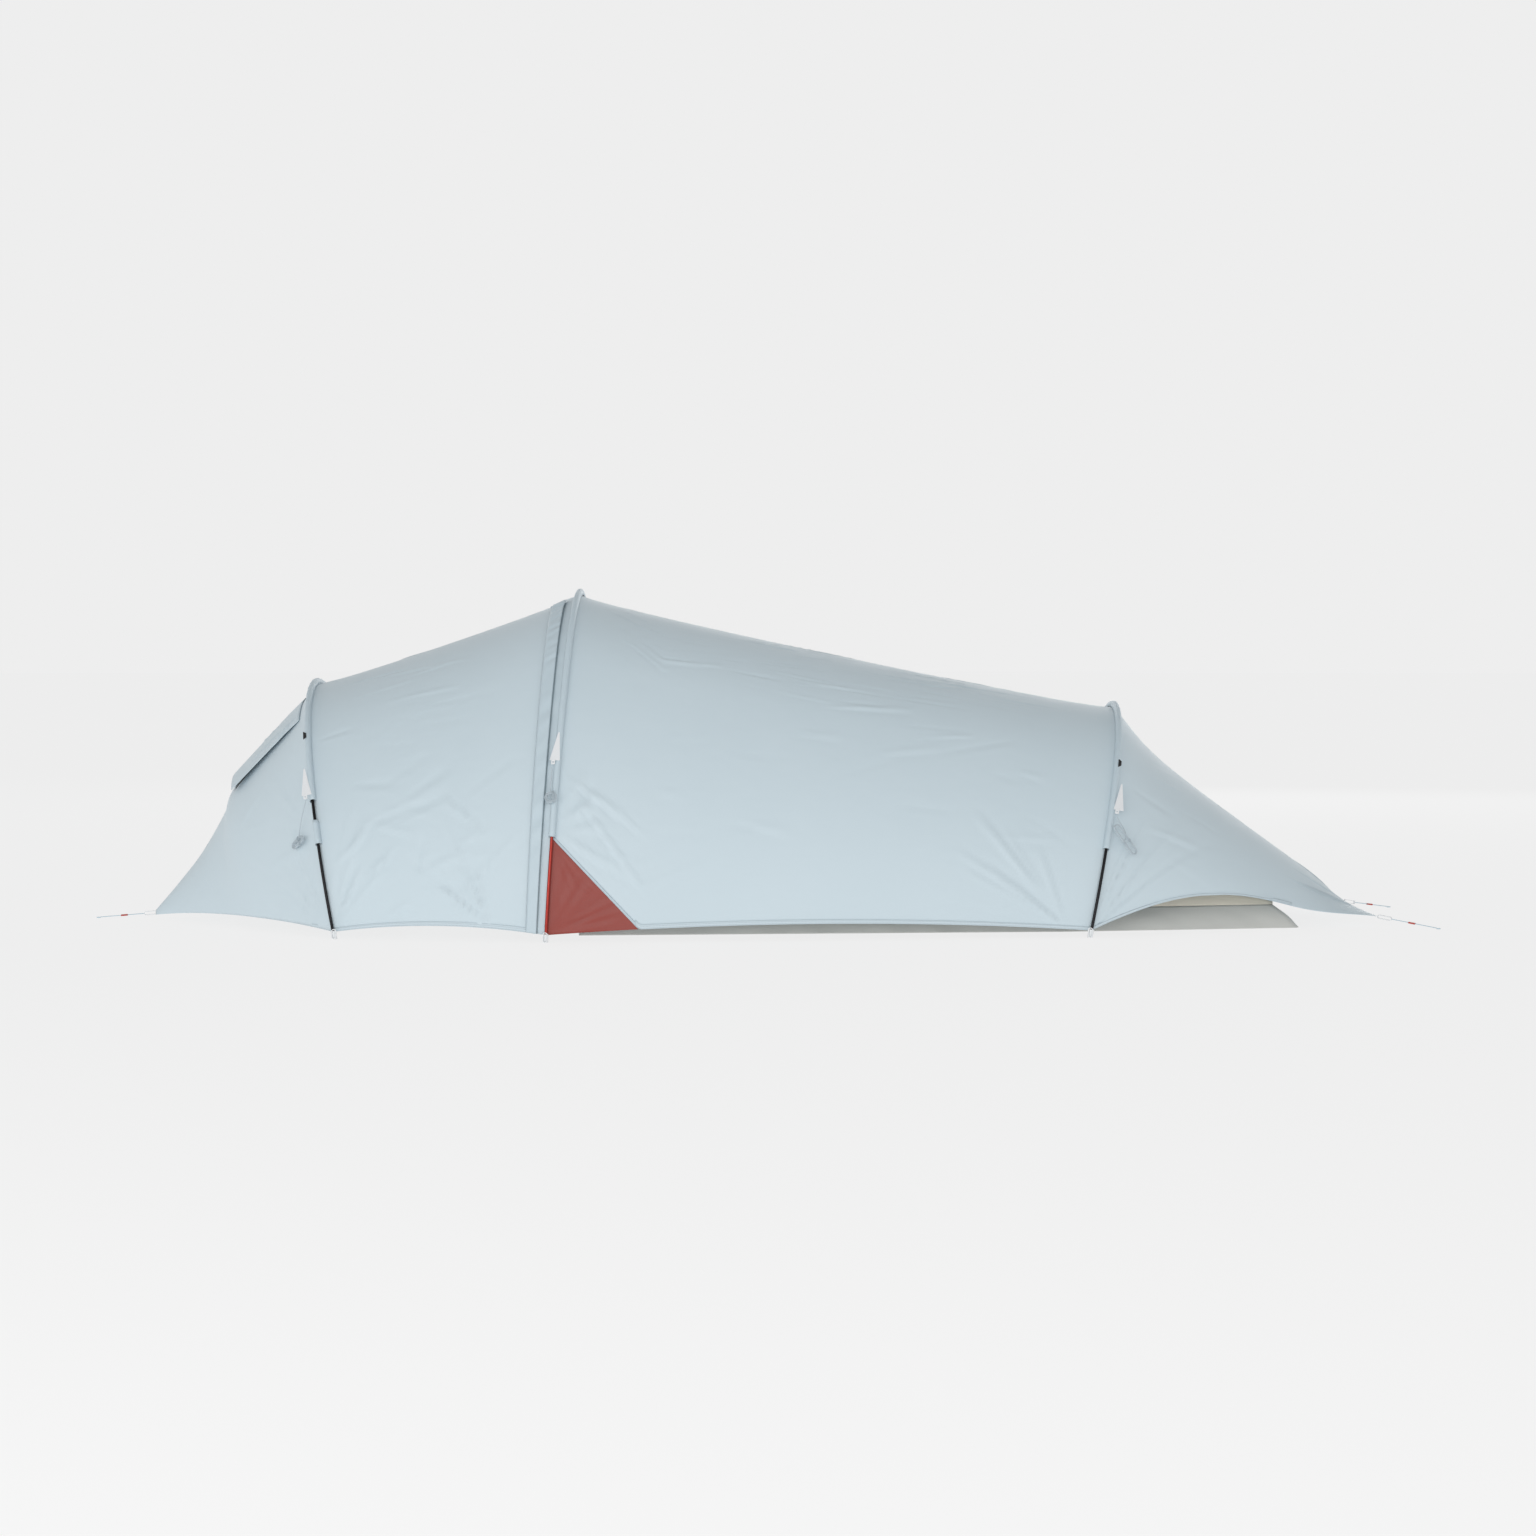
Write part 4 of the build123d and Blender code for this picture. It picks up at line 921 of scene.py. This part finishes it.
# %% Inner tent
TUB_TOP, TUB_FLARE, END_FLARE = 0.070, 0.030, 0.080
HEAD = section(-524, 520, 850, 0, 70)
WAIST, FOOT = section(936, 410, 500, 0, 70), section(1576, 290, 140, 0, 70)
canopy_shares = np.linspace(0, 1, 120)
canopy_foot = HEAD[0] + (FOOT[0] - HEAD[0]) * canopy_shares
ends = np.array([HEAD, WAIST, FOOT])
canopy_rows = np.stack([np.interp(canopy_foot, ends[:, 0], ends[:, i]) for i in range(5)], -1)
canopy_turns = np.tile(np.linspace(0, 180, 150), (120, 1))
random = np.random.default_rng(81)
canopy_folds = [drift(random, (0.1, 0.1), (2.0, 2.0), (0.2, 0.6), (0, 20), 46, 0.014, 0.003)]
canopy_out = wrinkled(canopy_rows, canopy_turns, canopy_shares, 0.014, canopy_folds, 0.4)
canopy_out = np.minimum(canopy_out, 0.0) * np.clip(np.minimum(canopy_turns, 180 - canopy_turns) / 8, 0, 1)
canopy = panel("inner_canopy", canopy_rows, canopy_turns, canopy_out, facing=-1)
sew(canopy, inner_cloth, ["tub"], ["inner_canopy_near", "inner_canopy_far"])


def rounded_rectangle(half_y, low, high, corner, count):
    """Points round a rounded rectangle, evenly spaced, as across and up."""
    centres = [(half_y - corner, high - corner), (-half_y + corner, high - corner),
               (-half_y + corner, low + corner), (half_y - corner, low + corner)]
    rim = []
    for quarter, centre in enumerate(centres):
        angles = np.radians(90 * quarter + np.linspace(0, 90, 24))
        rim.append(np.stack([centre[0] + corner * np.cos(angles), centre[1] + corner * np.sin(angles)], -1))
    return evenly(np.concatenate(rim), count)


def evenly(loop, count):
    """A closed loop's points at even steps."""
    closed = np.vstack([loop, loop[:1]])
    far = way_along(closed)
    steps = np.linspace(0, far[-1], count, endpoint=False)
    return np.stack([np.interp(steps, far, closed[:, i]) for i in range(loop.shape[1])], -1)


def wall(name, x, rims, bulge=0.0):
    """An upright sheet across the tent between loops; a single point closes it."""
    count = len(rims[0])
    points = []
    for i, rim in enumerate(rims):
        depth = x + bulge * math.sin(math.pi * i / max(len(rims) - 1, 1))
        points.append(np.column_stack([np.full(count, depth), rim]))
    points = np.array(points)
    faces = grid_faces(len(rims), count, closed=True)
    piece = mesh_piece(name, points.reshape(-1, 3), faces, points.reshape(-1, 3)[:, 1:])
    thicken(piece)
    edges = np.diff(np.concatenate([points, points[:, :1]], axis=1), axis=1)[:-1], np.diff(points, axis=0)
    area = float(np.linalg.norm(np.cross(*edges), axis=-1).sum())
    wide, tall = np.ptp(rims[0], axis=0)
    piece["run"], piece["up"], piece["cut"] = float(wide), float(tall), min(area, float(wide * tall))
    return piece


def section_rim(arch, count):
    """The outline of a whole section with its straight lower edge."""
    turns = np.linspace(180, 0, 120)
    points = lie(arch, turns)[0][:, 1:]
    start = int(np.argmax(points[:, 0]))
    return evenly(np.roll(points, -start, axis=0), count)


def shrink(rim, middle, shares):
    """Loops from a rim in to a point."""
    return [middle + (rim - middle) * share for share in shares]


DOOR_LOW_Z, DOOR_HIGH_Z, DOOR_HALF, DOOR_CORNER, AROUND = 0.130, 0.640, 0.270, 0.130, 160
WALL_SET = 0.001  # the walls stand this far outside the canopy's ends, and the door clear of its opening
opening = rounded_rectangle(DOOR_HALF, DOOR_LOW_Z, DOOR_HIGH_Z, DOOR_CORNER, AROUND)
outer = section_rim(HEAD, AROUND)
nearest = int(np.argmin(np.linalg.norm(outer - opening[0] * (1.6, 1.0), axis=-1)))
outer = np.roll(outer, -nearest, axis=0)
rims = [outer + (opening - outer) * share for share in np.linspace(0, 1, 14)]
head_wall = wall("head_wall", HEAD[0] - WALL_SET, rims, 0.004)
sew(head_wall, inner_cloth, ["inner_canopy"], ["inner_head_wall"])

door_rim = rounded_rectangle(DOOR_HALF - WALL_SET, DOOR_LOW_Z + WALL_SET, DOOR_HIGH_Z - WALL_SET,
                             DOOR_CORNER - WALL_SET, AROUND)
door_middle = np.array([0.0, (DOOR_LOW_Z + DOOR_HIGH_Z) / 2])
rims = shrink(door_rim, door_middle, np.linspace(1, 0.001, 22))
inner_door = wall("inner_door_cloth", HEAD[0] - WALL_SET, rims, -0.006)
sew(inner_door, inner_cloth, ["head_wall"], ["inner_door"], body="inner_door")

foot_rim = section_rim(FOOT, AROUND)
rims = shrink(foot_rim, np.array([0.0, 0.12]), np.linspace(1, 0.001, 14))
foot_wall = wall("foot_wall", FOOT[0] + WALL_SET, rims, 0.004)
sew(foot_wall, inner_cloth, ["inner_canopy"], ["inner_foot_wall"])

# %% [markdown]
# ## Tub
# The floor is coated cloth turned up all round into a low wall. The wall bellies out a little, its upper edge
# meets the canopy's foot, and its lower edge is soft where it meets the ground.

# %% Tub
TUB_ROUND, LOOP = 0.06, 420


def tub_rim(grow, end_grow):
    """Outline of the tub, set out from the canopy's feet, with rounded corners at the foot end."""
    near = [(arch[0], -arch[1] - grow) for arch in (HEAD, WAIST, FOOT)]
    near[-1] = (near[-1][0] + end_grow, near[-1][1])
    rim = np.array([*near, *((x, -y) for x, y in near[::-1])])
    loop = evenly(rim, LOOP)
    steps = np.linalg.norm(np.diff(np.vstack([loop, loop[:1]]), axis=0), axis=-1).mean()
    reach = int(TUB_ROUND * 0.55 / steps)
    kernel = np.hanning(2 * reach + 1)
    kernel /= kernel.sum()
    padded = np.concatenate([loop[-reach:], loop, loop[:reach]])
    smooth = np.stack([np.convolve(padded[:, i], kernel, "valid") for i in range(2)], -1)
    rounded = np.clip((loop[:, :1] - 1.3) / 0.2, 0, 1)
    return loop * (1 - rounded) + smooth * rounded


random = np.random.default_rng(91)
far_round = np.linspace(0, 2 * np.pi, LOOP, endpoint=False)
soft = sum(height * np.sin(far_round * rate + shift) for rate, shift, height in
           zip(random.integers(9, 60, 12), random.uniform(0, 6, 12), random.uniform(0.0002, 0.0011, 12)))
levels = []
for up_share in np.linspace(1, 0, 14):
    belly = 0.006 * math.sin(math.pi * up_share)
    rim = tub_rim(TUB_FLARE * (1 - up_share) + belly * 0.6, END_FLARE * (1 - up_share) + belly)
    middle = rim.mean(axis=0)
    ways = (rim - middle) / np.linalg.norm(rim - middle, axis=-1, keepdims=True)
    rim = rim + ways * (soft * math.sin(math.pi * min(up_share + 0.15, 1)))[:, None]
    lift = TUB_TOP * up_share + (0.0 if up_share else 0.0008)
    levels.append(np.column_stack([rim, np.full(LOOP, max(lift, 0.0016))]))
base = levels[-1]
spine = np.column_stack([base[:, 0].clip(HEAD[0] + 0.1, FOOT[0] - 0.1), np.zeros(LOOP), np.zeros(LOOP)])
for share in (0.995, 0.98, 0.9, 0.75, 0.55, 0.35, 0.15, 0.0):
    ring = spine * (1, 1, 0) + (base - spine) * (share, share, 0)
    levels.append(ring + np.array([0, 0, 0.0009]) * (share < 0.99) + np.array([0, 0, 0.0010]))
tub_points = np.array(levels)
tub = mesh_piece("tub_cloth", tub_points.reshape(-1, 3), grid_faces(*tub_points.shape[:2], closed=True),
                 np.stack([np.broadcast_to(far_round * 0.9, tub_points.shape[:2]),
                           np.cumsum(np.full(tub_points.shape[:2], 0.02), axis=0)], -1).reshape(-1, 2))
thicken(tub, offset=1.0)
tub["run"], tub["up"], tub["cut"] = 2.32, 1.24, 2.42  # the floor is about 1.99 m2 and the wall 0.43 m2
sew(tub, tub_cloth, ["inner_canopy"], ["tub"])

# %% [markdown]
# ## Guylines
# Each guyline hangs from its plastic runner, bundled into a hank. The cord comes down behind the hank and
# then goes round and round it in flat turns, a cord's width apart, and its bare end stays among them. A
# short tie round the waist holds the turns.

# %% Guylines in hanks
GUY_THICK, GUY_LONG = 0.0025, 1.15
TIE_THICK, TIE_TURNS = 0.0016, 2.2
HANK_BACK, HANK_GAP, TURN_PITCH = 0.0022, 0.0006, 0.00262
GUYLINES = {  # hank width, height, depth and tilt; then heights, set-offs and shares of the way
    "front": (
        FRONT, NECK, (58, 24, 15, 20),
        [(388.5, 36, 0.24), (360, 34, 0.45), (330, 26, 0.68), (302, 19, 0.84), (283, 17, 0.94)],
    ),
    "middle": (
        MIDDLE, FRONT, (38, 34, 14, 0),
        [(497.7, 21, 0.020), (472, 22.8, 0.017), (446, 23.6, 0.021), (426, 23.4, 0.018)],
    ),
    "rear": (
        REAR, HIP, (108, 24, 15, -24),
        [(342.9, 23.5, 0.074), (322, 24, 0.15), (302, 23.5, 0.24), (285, 24, 0.28)],
    ),
}


def seat(first, second, height, out, share):
    """Point outside the cloth at a height, with the ways along, up and out of the cloth there."""
    row = along(first, second, [share])[0]
    turn = turn_at(row, height * MM)
    point = lie(row, np.array(turn), out * MM)[0]
    ahead = lie(second, np.array(turn))[0] - lie(first, np.array(turn))[0]
    ahead *= np.sign(ahead[0]) / np.linalg.norm(ahead)
    rise = lie(row, np.array(turn + 0.05))[0] - lie(row, np.array(turn - 0.05))[0]
    rise -= ahead * (rise @ ahead)
    rise /= np.linalg.norm(rise)
    return point, ahead, rise, np.cross(ahead, rise)


def stadium(width, height, grow, share):
    """Point round a stadium, by share of its length, from the middle of the bottom, going right."""
    radius, half = height / 2 + grow, (width - height) / 2
    arc = math.pi * radius
    over, far = divmod((share % 1) * (4 * half + 2 * arc), 2 * half + arc)
    if far <= half:
        x, y = far, -radius
    elif far <= half + arc:
        angle = (far - half) / radius
        x, y = half + radius * math.sin(angle), -radius * math.cos(angle)
    else:
        x, y = 2 * half + arc - far, radius
    return (-x, -y) if over else (x, y)


def leaned(x, y, slant):
    """A point turned in its plane."""
    return x * math.cos(slant) - y * math.sin(slant), x * math.sin(slant) + y * math.cos(slant)


def hank_turns(width, height, depth, slant):
    """Points of a hank in its own plane: in from the top behind the turns, then lane inside lane."""
    back, layers = -HANK_BACK + GUY_THICK / 2, int((depth - 2 * GUY_THICK) / TURN_PITCH)
    points = [(0.0, height * 0.2, back), (0.0, -height * 0.1, back)]
    for lane in range(3):
        grow = -GUY_THICK / 2 - lane * TURN_PITCH
        if height / 2 + grow < 0.004:
            break
        whole = 2 * (width - height) + 2 * math.pi * (height / 2 + grow)
        steps = max(int(whole / 0.006), 16)
        for step in range(steps * layers):
            x, y = stadium(width, height, grow, step / steps)
            shift = step / steps if lane % 2 == 0 else layers - step / steps
            z = back + GUY_THICK * 0.55 + (0.5 + shift * (layers - 1) / layers) * TURN_PITCH
            points.append((x, y, z))
    return [(*leaned(x, y, slant), z) for x, y, z in points]


def cord_curve(name, points, thick, finish):
    """A smooth cord through a row of points."""
    data = bpy.data.curves.new(name, "CURVE")
    data.dimensions, data.bevel_depth, data.bevel_resolution, data.resolution_u = "3D", thick / 2, 3, 3
    data.use_fill_caps = True
    spline = data.splines.new("NURBS")
    spline.points.add(len(points) - 1)
    spline.points.foreach_set("co", np.column_stack([points, np.ones(len(points))]).ravel())
    spline.order_u, spline.use_endpoint_u = 3, True
    cord = bpy.data.objects.new(name, data)
    bpy.context.scene.collection.objects.link(cord)
    return paint(cord, finish)


def cut_to(points, length):
    """The first part of a row of points, of a given length."""
    points = np.asarray(points, float)
    far = way_along(points)
    keep = int(np.searchsorted(far, min(length, far[-1])))
    return points[:max(keep, 3)], float(far[max(keep, 3) - 1])


for name, (first, second, shape, route) in GUYLINES.items():
    width, height, depth = (size * MM for size in shape[:3])
    slant = math.radians(shape[3])
    seats = [seat(first, second, up, out, share) for up, out, share in route]
    last, ahead, rise, outward = seats[-1]
    drop = height / 2 / math.cos(slant) + GUY_THICK / 2 * math.tan(abs(slant)) + HANK_GAP
    centre = last - rise * drop
    turns = hank_turns(width, height, depth, slant)
    hank = [centre + ahead * x + rise * y + outward * z for x, y, z in turns]
    whole, length = cut_to([one[0] for one in seats] + hank, GUY_LONG)
    waist = []
    for around in np.linspace(0, 2 * math.pi * TIE_TURNS, 60):
        x = 0.006 + 0.0011 * around / 2 / math.pi * 2.4
        up, deep = (height / 2 + 0.0012) * math.cos(around), (depth / 2 - 0.0002) * math.sin(around)
        x, y = leaned(x, up, slant)
        waist.append(centre + ahead * x + rise * y + outward * (depth / 2 - HANK_BACK + deep))
    for side in ("near", "far"):
        mirror = np.array([1, 1 if side == "near" else -1, 1])
        cord = cord_curve(f"guyline_cord_{name}_{side}", whole * mirror, GUY_THICK, pale_braid)
        tie_points = np.array(waist) * mirror
        tie = cord_curve(f"guyline_tie_{name}_{side}", tie_points, TIE_THICK, pale_braid)
        tie.data.bevel_resolution = 2
        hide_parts(f"guyline_{name}_{side}", f"hank_{name}_{side}")
        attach(cord, "tent")
        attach(tie, "tent")
        tuple(whole[0] * mirror)
    print("guyline", name, round(length, 3), "m,", len(whole), "points")

# %% [markdown]
# ## Lines to the ground
# A short line runs tight from each tensioner to its ring at the ground.

# %% Taut lines
LINE_THICK = 0.0025
TAUT = {
    "nose": ((-1883, 0, 17.7), (-2076, 0, 2)),
    "tail_near": ((1901, -252, 30), (2070, -350, 2)),
    "tail_far": ((1901, 252, 30), (2070, 350, 2)),
}
for name, (corner, ground) in TAUT.items():
    corner, ground = np.array(corner) * MM, np.array(ground) * MM
    way = (ground - corner) / np.linalg.norm(ground - corner)
    start, stop = corner + way * 0.0502, ground - way * 0.0063
    spots = start + (stop - start) * np.linspace(0, 1, 9)[:, None]
    length = float(np.linalg.norm(stop - start))
    line = cord_curve("line_" + name, spots, LINE_THICK, ice_braid)
    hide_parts("taut_line_" + name)
    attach(line, "tent")
    print("line", name, round(length, 4), "m")

# %% [markdown]
# ## Light and floor
# One broad soft light stands behind the camera and the sky is pale, so that the walls read lighter than the
# top. The floor is as pale as the sky.

# %% Light and floor
PALE = 0.855  # the floor and the low sky behind the tent
HIGH_SKY = 0.42  # the sky overhead, darker, so that the top of the tent is in shade
FLOOR_TONE, FLOOR_GLOW = 0.10, 0.93
FLOOR_HALF, FLOOR_Z = 60, -0.0015
corners = [(x * FLOOR_HALF, y * FLOOR_HALF, FLOOR_Z) for x, y in ((-1, -1), (1, -1), (1, 1), (-1, 1))]
floor = mesh_piece("floor", corners, [(0, 1, 2, 3)])
floor_finish = Finish("floor_paint", (FLOOR_TONE, FLOOR_TONE, FLOOR_TONE), 1.0, specular_ior_level=0.0)
floor_finish.set("Emission Color", (PALE, PALE, PALE, 1.0))
floor_finish.set("Emission Strength", FLOOR_GLOW)
floor.data.materials.append(floor_finish.material)

world = bpy.data.worlds.new("sky")
bpy.context.scene.world = world
world.use_nodes = True
sky = world.node_tree.nodes["Background"]
sky.inputs["Color"].default_value = (1.0, 1.0, 1.0, 1.0)
nodes, links = world.node_tree.nodes, world.node_tree.links
way, parts, fall = (nodes.new("ShaderNode" + kind) for kind in ("TexCoord", "SeparateXYZ", "MapRange"))
links.new(way.outputs["Generated"], parts.inputs[0])
links.new(parts.outputs["Z"], fall.inputs["Value"])
for key, value in (("From Min", 0.25), ("From Max", 0.7), ("To Min", PALE), ("To Max", HIGH_SKY)):
    fall.inputs[key].default_value = value
links.new(fall.outputs["Result"], sky.inputs["Strength"])


def soft_light(name, spot, towards, size, power):
    """A broad area light."""
    data = bpy.data.lights.new(name, "AREA")
    data.shape, data.size, data.size_y, data.energy = "RECTANGLE", size[0], size[1], power
    light = bpy.data.objects.new(name, data)
    bpy.context.scene.collection.objects.link(light)
    light.location = spot
    light.rotation_euler = (Vector(towards) - Vector(spot)).to_track_quat("-Z", "Y").to_euler()


soft_light("key", (-1.5, -7.5, 1.8), (0, 0, 0.3), (7, 3), 165)
soft_light("back", (1.5, 7.5, 2.5), (0, 0, 0.3), (7, 3), 90)
bpy.context.scene.view_settings.view_transform = "Standard"
